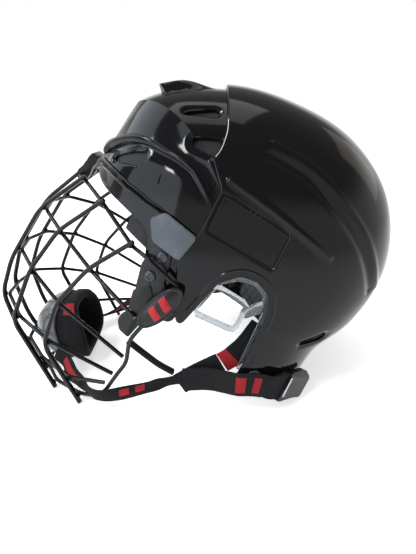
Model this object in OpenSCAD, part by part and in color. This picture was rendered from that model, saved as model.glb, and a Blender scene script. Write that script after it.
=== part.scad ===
/* [Shell] */
// Greatest width of the shell, left to right
shell_w = 214; // [200:1:230]
// Height of the ear centre above the surface that the helmet stands on
ear_h = 83; // [75:1:90]
// Reach of the shell from the ear centre, 70, 50, 30 and 10 degrees below level at the back
nape_reach = [110, 102.5, 98, 118]; // [85:1:140]
// Reach of the shell from the ear centre, 10, 30, 50 and 70 degrees above level at the back
back_reach = [139, 152, 156, 156]; // [130:1:170]
// Reach of the shell from the ear centre, 90, 110, 130 and 150 degrees round, over the crown to the brow
front_reach = [160, 162, 152, 141]; // [130:1:170]
// Fullness of the cross sections, where 2 is an ellipse
fullness = 2.5; // [2.2:0.1:3]
// Wall of each shell
shell_wall = 2.6; // [2:0.1:4]
// Gap between the lapped shells
lap_gap = 1; // [0.8:0.1:1.5]
// Length of the front shell's tail under the rear shell, at the crown
tail_l = 34; // [28:1:40]
// Travel of the size adjustment
size_travel = 14; // [10:1:16]
// Height of the crest across the front shell
crest_h = 6.5; // [3:0.1:8]
// Height of the arch over the brow
arch_h = 3.4; // [1:0.1:5]
// Height of the bead along the brow edge
bead_h = 1.5; // [0.5:0.1:2]
// Height of the scoop over the crown vent
scoop_h = 6.5; // [5:0.1:8]
// Width of the scoop at its mouth
scoop_w = 50; // [40:1:56]

/* [Lining] */
// Thickness of the foam pads
pad_t = 13; // [8:1:18]
// Gap between a pad and the shell that it lines
pad_gap = 0.8; // [0.6:0.1:1.5]

/* [Cage] */
// Width of an upright bar
bar_w = 5; // [4:0.1:6]
// Thickness of an upright bar
bar_t = 3.4; // [2.8:0.1:4]
// Diameter of a cross wire
wire_d = 3.2; // [2.6:0.1:4]
// Distance of the inner uprights from the middle
inner_y = 33; // [28:1:38]
// Distance of the middle uprights from the middle
middle_y = 63; // [56:1:68]
// Distance of the outer uprights from the middle
outer_y = 85; // [80:1:90]
// How far the cage swings up
cage_swing = 95; // [60:1:100]

/* [Clips] */
// Thickness of the side clip's plate
plate_t = 2; // [1.5:0.1:3]
// Diameter of a clip screw's head
screw_head_d = 8; // [6:0.1:9]
// Diameter of a clip screw's shank
screw_d = 4; // [3:0.1:4.5]
// Length of the oval cover
cover_l = 41; // [36:1:46]
// Width of the oval cover
cover_w = 17; // [14:1:20]

/* [Chin cup and straps] */
// Width of the chin cup
cup_w = 76; // [66:1:80]
// Height of the chin cup
cup_h = 60; // [50:1:64]
// Depth of the chin cup
cup_depth = 42; // [36:1:46]
// Thickness of the soft chin pad
cup_pad_t = 7; // [5:1:10]
// Width of the webbing
strap_w = 19; // [15:1:25]
// Thickness of the webbing
strap_t = 1.6; // [1.2:0.1:2.5]

/* [Hidden] */

half_w = shell_w / 2;
reach = concat(nape_reach, back_reach, front_reach);
reach_start = -70;
reach_step = 20;
front_lap = shell_wall + lap_gap;
front_inside = front_lap + shell_wall;
black = [0.02, 0.02, 0.022];
soft_black = [0.05, 0.05, 0.05];
foam_grey = [0.16, 0.16, 0.17];
steel = [0.7, 0.7, 0.72];

// Side outlines are [x, z] from the ear centre, with the front at -x.
seam = [[0, 180], [-1, 141], [-2.2, 126.3], [-6.3, 115.4], [-12, 109], [-6, 90], [-20, 64]];
brow_rim = [[-112, 101], [-104, 100], [-99, 98], [-95, 92], [-88, 86], [-76, 78], [-64, 69], [-57, 61]];
front_leg = [[-59, 41], [-63, 21], [-61, 7], [-54, -1], [-42, -4], [-36, 4], [-34, 22], [-31, 42],
    [-20, 58], [6.5, 74.5]];
rear_arm = [[-29, 54], [-36, 42], [-38, 22], [-39, 6], [-37, -3], [-33, -2]];
ear_edge = [[-8, 28], [7, 33], [19, 29], [26, 20], [27, 7], [9, -41]];
nape_rim = [[2, -55], [10, -64], [45, -ear_h]];

// Uprights, as [x, z] from the top end down
bar_centre = [[-121, 94], [-156, 68], [-185, 26], [-196, -8], [-187, -42], [-166, -82]];
bar_inner = [[-112, 91.7], [-151, 66], [-180, 24], [-192, -7], [-184, -40], [-163, -82]];
bar_middle = [[-91.5, 78], [-128, 55], [-154, 23], [-173, -19], [-146, -82]];
bar_outer = [[-68, 52], [-102, 32], [-128, 5], [-142, -30], [-119, -82]];
// The wire that the cage swings on, as [x, z]
hinge_at = [-120.3, 90.2];
hinge_run = 19.5;

function unit(v) = v / norm(v);
function mirror_y(v) = [v.x, -v.y, v.z];
function cubic(a, b, c, d, t) =
    0.5 * (2 * b + (c - a) * t + (2 * a - 5 * b + 4 * c - d) * t * t + (3 * b - a - 3 * c + d) * t * t * t);

// The dome: a closed profile round the ear centre, swept from side to side with full cross sections
function reach_at(angle) =
    let(last = len(reach) - 1,
        u = min(max((angle - reach_start) / reach_step, 0), last - 0.001),
        i = floor(u))
    cubic(reach[max(i - 1, 0)], reach[i], reach[i + 1], reach[min(i + 2, last)], u - i);
function round_angle(x, z) = let(a = atan2(z, x)) a < -90 ? a + 360 : a;
function dome(angle, tilt, inset) =
    let(r = (reach_at(angle) - inset) * pow(cos(tilt), 2 / fullness),
        y = sign(tilt) * (half_w - inset) * pow(abs(sin(tilt)), 2 / fullness))
    [r * cos(angle), y, r * sin(angle)];
function side_y(x, z, inset) =
    let(share = norm([x, z]) / (reach_at(round_angle(x, z)) - inset))
    (half_w - inset) * pow(max(0, 1 - pow(share, fullness)), 1 / fullness);
function on_side(p, inset) = [p.x, -side_y(p.x, p.y, inset), p.y];
function outward(p) =
    let(a = round_angle(p.x, p.z), r = norm([p.x, p.z]), m = fullness - 1,
        g = pow(r, m) / pow(reach_at(a), fullness))
    unit([g * cos(a), sign(p.y) * pow(abs(p.y), m) / pow(half_w, fullness), g * sin(a)]);

// A path whose corners are rounded by a curve of n steps that starts r from the corner
function rounded(p, r, n) = concat([p[0]],
    [for (i = [1 : len(p) - 2])
        let(a = p[i - 1] - p[i], b = p[i + 1] - p[i], k = min(r, norm(a) / 2.1, norm(b) / 2.1))
        for (s = [0 : n]) p[i] + unit(a) * k * pow(1 - s / n, 2) + unit(b) * k * pow(s / n, 2)],
    [p[len(p) - 1]]);
function along(p, i) = unit(p[min(i + 1, len(p) - 1)] - p[max(i - 1, 0)]);
function in_plane(outline, y) = [for (p = outline) [p.x, y, p.y]];

// Triangles of a closed skin over rings of points, capped at both ends or closed on itself
function ring_faces(rings, sides, loop) = concat(
    [for (i = [0 : rings - (loop ? 1 : 2)], j = [0 : sides - 1])
        let(a = i * sides, b = ((i + 1) % rings) * sides, k = (j + 1) % sides)
        for (f = [[a + j, b + k, a + k], [a + j, b + j, b + k]]) f],
    loop ? [] : [for (j = [1 : sides - 2]) [0, j, j + 1]],
    loop ? [] : [for (j = [1 : sides - 2]) let(e = (rings - 1) * sides) [e, e + j + 1, e + j]]);

// A bar of oval section w by t, where w lies along the direction given
module oval_bar(path, w, t, wide, sides) {
    points = [for (i = [0 : len(path) - 1])
        let(go = along(path, i), a = unit(wide - go * (wide * go)), b = cross(go, a))
        for (j = [0 : sides - 1])
            path[i] + a * cos(360 * (j + 0.5) / sides) * w / 2 + b * sin(360 * (j + 0.5) / sides) * t / 2];
    polyhedron(points, ring_faces(len(path), sides, false));
}

// Webbing of thickness t, where widths gives the direction across it at each point and the share of w there
module webbing(path, widths, w, t) {
    points = [for (i = [0 : len(path) - 1])
        let(go = along(path, i), a = unit(widths[i] - go * (widths[i] * go)), b = cross(go, a))
        for (s = [[1, 1], [-1, 1], [-1, -1], [1, -1]])
            path[i] + a * s.x * norm(widths[i]) * w / 2 + b * s.y * t / 2];
    polyhedron(points, ring_faces(len(path), 4, false));
}

// A closed block between an outer and an inner grid of na + 1 by nt + 1 points
module grid_block(grid, na, nt) {
    row = nt + 1;
    back = (na + 1) * row;
    edge = concat([for (j = [0 : nt - 1]) j], [for (i = [0 : na - 1]) i * row + nt],
        [for (j = [nt : -1 : 1]) na * row + j], [for (i = [na : -1 : 1]) i * row]);
    quads = concat(
        [for (i = [0 : na - 1], j = [0 : nt - 1])
            [i * row + j, i * row + j + 1, (i + 1) * row + j + 1, (i + 1) * row + j]],
        [for (i = [0 : na - 1], j = [0 : nt - 1])
            [for (k = [(i + 1) * row + j, (i + 1) * row + j + 1, i * row + j + 1, i * row + j]) back + k]],
        [for (k = [0 : len(edge) - 1])
            let(a = edge[k], b = edge[(k + 1) % len(edge)]) [a, back + a, back + b, b]]);
    polyhedron(grid, [for (q = quads, f = [[q[0], q[2], q[1]], [q[0], q[3], q[2]]]) f]);
}

// A curved block between two depths under the dome
module dome_block(angles, tilts, depths, na, nt) grid_block(
    [for (d = depths, i = [0 : na], j = [0 : nt])
        dome(angles[0] + (angles[1] - angles[0]) * i / na, tilts[0] + (tilts[1] - tilts[0]) * j / nt, d)],
    na, nt);

// A ridge that stands on the shell along side points, on the left
module ridge(side_points, w, h, inset) {
    path = [for (p = rounded(side_points, 6, 2)) on_side(p, inset)];
    points = [for (i = [0 : len(path) - 1])
        let(out = outward(path[i]), across = unit(cross(along(path, i), out)))
        for (s = [[-1, -1], [-0.4, h], [0.4, h], [1, -1]]) path[i] + across * s.x * w / 2 + out * s.y];
    polyhedron(points, ring_faces(len(path), 4, false));
}

module through_side(outline, from_y, to_y) {
    translate([0, to_y, 0]) rotate([90, 0, 0]) linear_extrude(to_y - from_y) polygon(outline);
}
module both_sides() {
    children();
    mirror([0, 1, 0]) children();
}
module place() {
    stand_x = -(bar_centre[3].x - bar_t / 2 + 1.1 + reach_at(14) * cos(14)) / 2;
    translate([stand_x, 0, ear_h]) children();
}

// A vent with round ends between two side points, cut inward through the left of the shell
module vent(a, b, ra, rb, inset, depth) {
    pa = on_side(a, inset);
    pb = on_side(b, inset);
    out = outward((pa + pb) / 2);
    hull() for (s = [[pa, ra], [pb, rb]]) {
        translate(s[0] + out * 6) sphere(s[1], $fn = 12);
        translate(s[0] - out * depth) sphere(s[1] * 0.9, $fn = 12);
    }
}

// The front shell's relief: lines over the dome as [tilt to the side, angle round the profile], and the
// share of each height that is left there
crest_line = [[0, 115], [8, 115], [60, 94], [90, 84]];
crest_share = [[8, 1], [20, 0.83], [36, 0.58], [46, 0.3], [54, 0.08], [60, 0]];
arch_line = [[0, 129.5], [14, 129.5], [17, 126.5], [27.6, 120], [35, 116], [44, 111], [54, 103.4],
    [60, 101], [90, 91]];
arch_share = [[20, 1], [35, 0.82], [50, 0.47], [60, 0.18], [64, 0]];
bead_line = [[0, 134], [19, 131], [33, 128.7], [44, 126.8], [54.6, 123.2], [62.5, 118.6], [90, 112]];
bead_share = [[5, 0], [14, 1], [66, 1], [72, 0]];
front_tilts = [-88, -80, -72, -64, -56, -48, -41, -34, -27, -19.5, -12.6, -9,
    0, 9, 12.6, 19.5, 27, 34, 41, 48, 56, 64, 72, 80, 88];
function ease(x, low, high) = let(u = min(1, max(0, (x - low) / (high - low)))) u * u * (3 - 2 * u);
function scoop_at(tilt, back) =
    let(y = (half_w - front_lap) * pow(abs(sin(tilt)), 2 / fullness), half = scoop_w / 2 - 5 * back)
    scoop_h * (1 - ease(back, 0.35, 1)) * (1 - ease(y, half - 1.5, half + 6));
// The rows from the tail to the brow, as [angle, height]
function front_rows(tilt) =
    let(t = abs(tilt), c = lookup(t, crest_line), a = lookup(t, arch_line), foot = 2.2,
        b = max(lookup(t, bead_line), a + foot + 2.5), start = min(88, c - 8),
        ch = crest_h * lookup(t, crest_share), ah = arch_h * lookup(t, arch_share),
        bh = bead_h * lookup(t, bead_share), dip = 5.5 * min(1, (a - c) / 16))
    concat(
        [for (i = [0 : 5]) [50 + (start - 50) * i / 5, 0]],
        [for (f = [[0.17, 0.05], [0.45, 0.22], [0.745, 0.57]])
            [start + (c - start) * f[0], ch * f[1] + scoop_at(tilt, (0.745 - f[0]) / 0.575)]],
        [for (f = [[0.76, 0.6], [1, 1]]) [start + (c - start) * f[0], ch * f[1]]],
        [for (f = [0.3, 0.65]) [c + (a - foot - c) * f, ch * (1 - f) - dip * f * (1 - f)]],
        [for (f = [[-1, 0], [-0.6, 0.8], [0, 1], [0.6, 0.8], [1, 0]]) [a + foot * f[0], ah * f[1]]],
        [[a + foot + 0.8, -0.35 * ah], [a + foot + 1.6, 0], [(a + foot + 1.6 + b) / 2, 0], [b, 0],
            [b + 0.5, bh], [b + 1.3, -0.3 * bh],
            [b + 2.2, 0.7 * bh], [b + 2.8, 0]],
        [for (i = [1 : 8]) [b + 2.8 + (200 - b - 2.8) * i / 8, 0]]);
module front_form() {
    lines = [for (t = front_tilts) front_rows(t)];
    na = len(lines[0]) - 1;
    nt = len(front_tilts) - 1;
    grid_block(concat(
        [for (i = [0 : na], j = [0 : nt]) dome(lines[j][i][0], front_tilts[j], front_lap - lines[j][i][1])],
        [for (i = [0 : na], j = [0 : nt]) dome(lines[j][i][0], front_tilts[j], front_inside)]), na, nt);
}
// The scoop's mouth: forward under its lip, then down through the shell
module scoop_mouth() {
    side = 7;
    hull() for (s = [-side, side]) {
        translate(dome(113, s, front_lap - scoop_h + 2.8)) sphere(1.8, $fn = 12);
        translate(dome(103.5, s, front_lap - scoop_h + 3.8)) sphere(1.8, $fn = 12);
    }
    hull() for (s = [-side, side], depth = [scoop_h - 3.8, -8])
        translate(dome(103.5, s, front_lap - depth)) sphere(1.8, $fn = 12);
}
module front_shell() color(black) place() difference() {
    intersection() {
        front_form();
        through_side(concat([[-130, 180]], [brow_rim[0] - [18, 0]], brow_rim, front_leg,
            [[tail_l, 96], [tail_l, 180]]), -120, 120);
    }
    scoop_mouth();
    both_sides() {
        vent([-29.1, 137.8], [-10.7, 138.6], 2.5, 4, front_lap, 10);
        vent([-21.7, 119.4], [-11.2, 116.8], 3.5, 6.5, front_lap, 10);
        vent([-81.3, 108.5], [-62.0, 109.8], 3, 5, front_lap, 10);
    }
}

module rear_shell() color(black) place() union() {
    difference() {
        intersection() {
            dome_block([-80, 205], [-88, 88], [0, shell_wall], 34, 22);
            through_side(concat(seam, rear_arm, ear_edge, nape_rim,
                [[150, -ear_h], [190, -50], [190, 180]]), -120, 120);
        }
        both_sides() {
            vent([57, -25], [71, -23], 2.5, 5, 0, 6);
        }
    }
    both_sides() {
        ridge([[0, 95], [33, 70], [69, 43]], 5, 1, 0);
        ridge([[26, 112], [50, 99], [68, 82], [88, 58], [100, 36], [108, 12]], 6, 1.2, 0);
        ridge([[-31, 5], [-9, 31], [7, 37], [21, 32], [29, 21], [30, 7], [13, -36]], 4, 1, 0);
    }
}

module brow_pad() color(foam_grey) place()
    dome_block([117, 134], [-48, 48], [front_inside + pad_gap, front_inside + pad_gap + pad_t], 3, 8);
module front_crown_pad() color(foam_grey) place()
    dome_block([82, 114], [-34, 34], [front_inside + pad_gap, front_inside + pad_gap + pad_t], 5, 6);
module front_side_pads() color(foam_grey) place() both_sides() {
    dome_block([92, 114], [-66, -38], [front_inside + pad_gap, front_inside + pad_gap + pad_t], 4, 4);
    dome_block([117, 140], [-70, -51], [front_inside + pad_gap, front_inside + pad_gap + pad_t], 4, 3);
}
module rear_crown_pad() color(foam_grey) place()
    dome_block([50, 72], [-34, 34], [shell_wall + pad_gap, shell_wall + pad_gap + pad_t], 4, 6);
module back_pad() color(foam_grey) place()
    dome_block([6, 47], [-34, 34], [shell_wall + pad_gap, shell_wall + pad_gap + pad_t], 6, 6);
module rear_side_pads() color(foam_grey) place() both_sides()
    dome_block([4, 56], [-64, -38], [shell_wall + pad_gap, shell_wall + pad_gap + pad_t], 7, 4);
module nape_pad() color(foam_grey) place()
    dome_block([-44, 2], [-52, 52], [shell_wall + pad_gap, shell_wall + pad_gap + pad_t], 6, 8);

// The clear guard: a strip inside the rear edge of the ear opening that carries an open loop
guard_y = half_w - 11;
guard_t = 2;
module ear_guard() {
    loop = [[-23, 4], [-9, 21], [11, 8], [3, -9]];
    strip = [[-5, 36], [8, 42], [27, 36], [34, 22], [34, 6], [15, -44], [6, -44], [25, 3], [24, 16],
        [18, 24],
        [6, 27], [-7, 24]];
    translate([0, -guard_y, 0]) rotate([90, 0, 0]) linear_extrude(guard_t) difference() {
        union() {
            offset(r = 4, $fn = 24) polygon(loop);
            polygon(strip);
            polygon([[8, 4], [24, 12], [26, 3], [12, -2]]);
        }
        polygon(loop);
    }
}
module ear_guard_left() color([0.8, 0.85, 0.9, 0.4]) place() ear_guard();
module ear_guard_right() color([0.8, 0.85, 0.9, 0.4]) place() mirror([0, 1, 0]) ear_guard();
rivet_at = [[4, 38], [29, 28], [26, -10]];
module ear_guard_rivets() color(black) place() both_sides()
    for (p = rivet_at) {
        top = side_y(p.x, p.y, shell_wall) - 0.9;
        translate([p.x, -top, p.y]) rotate([-90, 0, 0]) cylinder(d = 5,
            h = top - guard_y - guard_t - 0.05, $fn = 16);
    }

// A satin panel that caps the temple, over the lap of the shells
panel_out = -0.4;
module temple_panel() {
    outline = [[-54, 72], [-43, 76], [-22, 60], [-35, 44], [-53, 57]];
    intersection() {
        dome_block([92, 142], [-85, -50], [panel_out - 2, panel_out], 8, 8);
        through_side(outline, -120, -60);
    }
}
module temple_panel_left() color([0.12, 0.12, 0.13]) place() temple_panel();
module temple_panel_right() color([0.12, 0.12, 0.13]) place() mirror([0, 1, 0]) temple_panel();

// The side clip: a plate that leans with the shell's front leg, with a strap that carries a tongue below
clip_at = [-50, 28];
clip_screws = [[4, 17], [-5, 3]];
leg_gap = 0.4;
screw_out = leg_gap + plate_t + 1.5;
loop_y = side_y(-36, 22, 0) + wire_d / 2 + 0.5;
cover_in = loop_y + wire_d / 2 + 0.4;
leg_tip = 6;
leg_turn = 11;
module on_leg() translate(on_side(clip_at, front_lap)) rotate([-leg_tip, 0, -leg_turn]) children();
function leg_plane_y(p, h) =
    let(n = [-sin(leg_turn) * cos(leg_tip), -cos(leg_turn) * cos(leg_tip), sin(leg_tip)], d = p - clip_at)
    side_y(clip_at.x, clip_at.y, front_lap) - (h - n.x * d.x - n.z * d.y) / n.y;
module clip_plate(outline, from, thick) translate([0, -from, 0]) rotate([90, 0, 0])
    linear_extrude(thick) polygon(outline);
module clip_bracket() on_leg() difference() {
    union() {
        clip_plate([[-16, -6], [-11, 12], [-4, 23], [5, 26], [11, 22], [9, 12], [5, -1], [8, -14],
            [11, -22],
            [6, -27], [-1, -24], [-5, -19]], leg_gap, plate_t);
        clip_plate([[-17, -7], [-5, -3], [-2, -14], [-6, -21], [-14, -29], [-21, -20]],
            leg_gap, plate_t + 1.2);
    }
    for (p = clip_screws)
        translate([p.x, 0, p.y]) rotate([90, 0, 0]) cylinder(d = screw_d + 0.1, h = 20, $fn = 20);
}
module clip_bracket_left() color(soft_black) place() clip_bracket();
module clip_bracket_right() color(soft_black) place() mirror([0, 1, 0]) clip_bracket();
module clip_screw_set() on_leg() for (p = clip_screws) translate([p.x, 0, p.y]) rotate([90, 0, 0])
    difference() {
    union() {
        translate([0, 0, leg_gap + plate_t]) cylinder(d = screw_head_d,
            h = screw_out - leg_gap - plate_t, $fn = 24);
        translate([0, 0, 0.2]) cylinder(d = screw_d, h = leg_gap + plate_t, $fn = 20);
    }
    for (turn = [0, 90]) rotate(turn)
        translate([-screw_head_d * 0.3, -0.6, screw_out - 0.8]) cube([screw_head_d * 0.6, 1.2, 2]);
}
module clip_screws_left() color(steel) place() clip_screw_set();
module clip_screws_right() color(steel) place() mirror([0, 1, 0]) clip_screw_set();

// The oval cover over the cage's side loop, domed, on a post that stands behind the loop
cover_at = [-48, 12];
cover_lean = 42;
cover_post = [-43.5, 6.5];
function oval_ring(share, rise) = [for (j = [0 : 21]) let(v = 360 * j / 22)
    [cover_l / 2 * share * cos(v), cover_w / 2 * share * sin(v), rise]];
module clip_cover() {
    rings = concat(oval_ring(0.94, 0), oval_ring(1, 0.8), oval_ring(1, 1.8), oval_ring(0.9, 3.2),
        oval_ring(0.66, 4.3), oval_ring(0.25, 4.8));
    translate([cover_at.x, -cover_in, cover_at.y]) rotate([90, 0, 0]) rotate(cover_lean)
        polyhedron(rings, ring_faces(6, 22, false));
    foot_y = leg_plane_y(cover_post, leg_gap + plate_t + 0.2);
    translate([cover_post.x, -cover_in - 0.5, cover_post.y]) rotate([-90, 0, 0])
        cylinder(d = 3, h = cover_in + 0.5 - foot_y, $fn = 16);
}
module clip_cover_left() color(black) place() clip_cover();
module clip_cover_right() color(black) place() mirror([0, 1, 0]) clip_cover();
module clip_tongue() translate([-66, -leg_plane_y([-66, 3], leg_gap - 0.3) , 3]) rotate([14, 0, 0])
    clip_plate([[-5, 0], [-11, -1.5], [-15, -7], [-15, -16], [-9, -24], [-6, -20], [1, -11], [4, -1],
        [0, 2]], -3.5, 3.5);
module clip_tongue_left() color(soft_black) place() clip_tongue();
module clip_tongue_right() color(soft_black) place() mirror([0, 1, 0]) clip_tongue();

// The brow clip: a block screwed to the shell, whose two prongs hold the cage's top wire
clip_w = 25;
prong_w = 6.5;
clip_side = [[-110, 108], [-105.2, 104.6], [-107.6, 99], [-111, 96], [-113.5, 90], [-117, 86], [-122, 86.5],
    [-124.5, 90], [-123, 94.5], [-119, 97.5]];
clip_face = [-114.5, 102.75];
clip_lean = -49.4;
module brow_clip() color(soft_black) place() difference() {
    union() {
        through_side(clip_side, -clip_w / 2, clip_w / 2);
        translate([hinge_at.x, 0, hinge_at.y]) rotate([90, 0, 0])
            cylinder(d = wire_d + 5, h = clip_w, center = true, $fn = 24);
    }
    through_side([[-130, 70], [-130, 110], [-118, 103], [-115.5, 96.5], [-111, 93], [-111, 70]],
        -clip_w / 2 + prong_w, clip_w / 2 - prong_w);
    translate([hinge_at.x, 0, hinge_at.y]) rotate([90, 0, 0])
        cylinder(d = wire_d + 0.16, h = 2 * clip_w, center = true, $fn = 32);
    at_clip_face() translate([0, 0, -12]) cylinder(d = 3.1, h = 20, $fn = 32);
}
module at_clip_face() translate([clip_face.x, 0, clip_face.y]) rotate([0, clip_lean, 0]) children();
module brow_clip_screw() color(steel) place() at_clip_face() difference() {
    union() {
        translate([0, 0, 0.02]) cylinder(d = 7, h = 1.8, $fn = 32);
        translate([0, 0, -7]) cylinder(d = 3, h = 8, $fn = 32);
    }
    for (turn = [0, 90]) rotate(turn) translate([-2, -0.5, 1]) cube([4, 1, 2]);
}

// Where an upright stands at a height, and its direction there
function bar_path(outline, y) = rounded(in_plane(outline, y), 9, 3);
function segment_at(p, z) = [for (i = [0 : len(p) - 2]) if (p[i].z >= z && p[i + 1].z < z) i][0];
function point_at(p, z) = let(i = segment_at(p, z)) p[i] + (p[i + 1] - p[i]) * (p[i].z - z)
    / (p[i].z - p[i + 1].z);
function down_at(p, z) = let(i = segment_at(p, z)) unit(p[i + 1] - p[i]);
bars = [bar_path(bar_centre, 0), bar_path(bar_inner, -inner_y), bar_path(bar_middle, -middle_y),
        bar_path(bar_outer, -outer_y)];

// A cross wire touches each upright's inner face. The heights are its crossings, from the middle out.
function wire_half(heights, ends) =
    let(q = concat([for (i = [0 : 3]) point_at(bars[i], heights[i])], ends))
    concat([for (i = [0 : 3])
        let(go = unit(q[i + 1] - (i == 0 ? mirror_y(q[1]) : q[i - 1])),
            n = unit(cross(down_at(bars[i], heights[i]), go)),
            c = n.x > 0 ? n : -n,
            reach_in = norm([bar_t / 2 * norm([c.x, c.z]), bar_w / 2 * c.y]) + wire_d / 2)
        q[i] + c * (reach_in + 0.08)], ends);
function whole(half) = concat([for (i = [len(half) - 1 : -1 : 1]) mirror_y(half[i])], half);
module wire(half) oval_bar(rounded(whole(half), 5, 2), wire_d, wire_d, [0.05, 0.02, 1], 6);

module upright(i) oval_bar(bars[i], bar_w, bar_t, [0, 1, 0], 8);
module cage_bar_centre() color(soft_black) place() upright(0);
module cage_bars_inner() color(soft_black) place() both_sides() upright(1);
module cage_bars_middle() color(soft_black) place() both_sides() upright(2);
module cage_bars_outer() color(soft_black) place() both_sides() upright(3);
module cage_wire_eyes() color(soft_black) place() wire(wire_half([69, 67, 54, 31],
    [[-67, -loop_y + 3.4, 1.5]]));
module cage_wire_nose() color(soft_black) place() wire(wire_half([34, 33, 22, 3],
    [[-79, -loop_y + 12, -35]]));
module cage_wire_mouth() color(soft_black) place() wire(wire_half([-9, -8, -17, -29],
    [[-89, -loop_y + 16, -52]]));
module cage_wire_chin() color(soft_black) place() wire(wire_half([-52, -52, -56, -62],
    [[-97, -loop_y + 20.5, -63]]));

// The rim: over the brow, round the side loops under the covers and back below the chin
module cage_rim() color(soft_black) place() {
    top = [for (i = [1 : 3])
        wire_half([92, 90.5, 76.5, 50], [[-57, -loop_y + 3, 47]])[i] + (i == 3 ? [0.7, 0.5, 0]
            : [0, 0, 0])];
    low = [for (i = [0 : 3]) wire_half([-79, -79, -78, -77], [[-103, -loop_y + 18, -72]])[i]];
    side = [[-57, -loop_y + 3, 47], [-44, -loop_y, 34.5], [-35.5, -loop_y, 26],
        [-36.5, -loop_y, 20.5], [-62, -loop_y + 1, -4], [-72, -loop_y + 4.5, -17],
            [-74.5, -loop_y + 8.5, -28],
        [-77, -loop_y + 12, -40], [-87, -loop_y + 15, -54], [-96, -loop_y + 17, -68],
            [-104, -loop_y + 18.5, -74]];
    half = concat([[hinge_at.x, -hinge_run, hinge_at.y]], top, side,
        [for (i = [3 : -1 : 0]) low[i]]);
    ring = concat(half, [for (i = [len(half) - 2 : -1 : 0]) mirror_y(half[i])]);
    path = rounded(concat([ring[0] * 0.5 + mirror_y(ring[0]) * 0.5],
        ring, [ring[0] * 0.5 + mirror_y(ring[0]) * 0.5]), 7, 2);
    loop = [for (i = [0 : len(path) - 2]) path[i]];
    rim_ring(loop, wire_d, 6);
}
// A closed ring of round wire, framed by the direction to the middle of the opening
module rim_ring(p, d, sides) {
    n = len(p);
    middle = [-90, 0, 5];
    points = [for (i = [0 : n - 1])
        let(go = unit(p[(i + 1) % n] - p[(i + n - 1) % n]), c = unit(middle - p[i]),
            a = unit(c - go * (c * go)), b = cross(go, a))
        for (j = [0 : sides - 1])
            p[i] + (a * cos(360 * (j + 0.5) / sides) + b * sin(360 * (j + 0.5) / sides)) * d / 2];
    polyhedron(points, ring_faces(n, sides, true));
}

// The chin cup: a bowl that opens back and up towards the chin, with a boxy rim swept back at the sides. The
// hard shell covers its front, and the soft pad stands out behind the shell's edge.
cup_at = [-133, 0, -51];
cup_wall = 1.8;
cup_rake = 0.17;
cup_sweep = 6;
shell_edge = 73;
function boxy(v) = sign(v) * pow(abs(v), 2 / 2.8);
function bowl(w, h, depth, last, steps, sides) = [for (i = [0 : steps], j = [0 : sides - 1])
    let(u = 8 + (last - 8) * i / steps, v = 360 * (j + 0.5) / sides, z = h / 2 * pow(sin(u),
        0.8) * boxy(sin(v)))
    [cup_sweep * pow(cos(v) * sin(u), 2) - depth * pow(cos(u), 1 - 0.5 * pow(cos(v),
        2)) - cup_rake * sin(u) * z,
        w / 2 * pow(sin(u), 0.8) * boxy(cos(v)), z]];
module bowl_wall(w, h, depth, t, last, steps, sides) {
    points = concat(bowl(w, h, depth, last, steps, sides), bowl(w - 2 * t, h - 2 * t, depth - t, last,
        steps, sides));
    n = sides * (steps + 1);
    skin = [for (i = [0 : steps - 1], j = [0 : sides - 1]) let(k = (j + 1) % sides)
        [i * sides + j, i * sides + k, (i + 1) * sides + k, (i + 1) * sides + j]];
    quads = concat(skin, [for (q = skin) [n + q[3], n + q[2], n + q[1], n + q[0]]],
        [for (j = [0 : sides - 1]) let(k = (j + 1) % sides, e = steps * sides)
            [e + j, e + k, n + e + k, n + e + j]]);
    polyhedron(points, concat(
        [for (q = quads, f = [[q[0], q[2], q[1]], [q[0], q[3], q[2]]]) f],
        [for (j = [1 : sides - 2]) [0, j, j + 1]],
        [for (j = [1 : sides - 2]) [n, n + j + 1, n + j]]));
}
module at_cup() translate(cup_at) children();
module chin_cup_shell() color([0.25, 0.25, 0.26]) place() at_cup()
    bowl_wall(cup_w, cup_h, cup_depth, cup_wall, shell_edge, 5, 20);
module chin_cup_pad() color(soft_black) place() at_cup()
    bowl_wall(cup_w - 2 * cup_wall - 0.6, cup_h - 2 * cup_wall - 0.6, cup_depth - cup_wall - 0.5,
        cup_pad_t, 90, 6, 20);

// The main strap: its rear half runs from the snap at the nape, and its front half from the chin cup. The
// front half slides into the rear half at the tab, so that both follow the size adjustment.
strap_out = strap_t / 2 + 1.7;
layer = strap_t + 0.5;
tab_y = half_w - 14;
// A point of the rear half, which hangs upright from its top edge beside the shell
function beside_shell(x, z, more) = [x, -side_y(x, z + strap_w / 2, 0) - strap_out - 0.6 - more, z];
rear_path = [beside_shell(60, -66, 3.4), beside_shell(37, -58.5, 2.9), beside_shell(27, -55.5, 0.8),
    beside_shell(21, -54, 0), beside_shell(16, -53, 0), beside_shell(7, -52.3, 0), [-4, -half_w + 5, -52],
    [-16, -tab_y - 2.6 * layer, -52], [-34, -tab_y - 2.4 * layer, -53]];
module rear_strap() webbing(rear_path, [for (p = rear_path) [0, 0, -1]], strap_w + 0.5, strap_t);
module rear_strap_left() color(soft_black) place() rear_strap();
module rear_strap_right() color(soft_black) place() mirror([0, 1, 0]) rear_strap();
chin_path = [[-12, -tab_y - 1.3 * layer, -52], [-30, -tab_y - 1.3 * layer, -53],
    [-46, -tab_y - 1.3 * layer, -56],
    [-60, -half_w + 10.5, -60.3], [-74, -half_w + 9.5, -63.5], [-86, -half_w + 9, -66],
        [-96, -half_w + 10, -68],
    [-104, -half_w + 13.5, -69], [-111, -half_w + 21, -69.5], [-121, -72, -71], [-133, -57, -72],
        [-141, -42.5, -69],
    [-151, -36.2, -63]];
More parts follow.
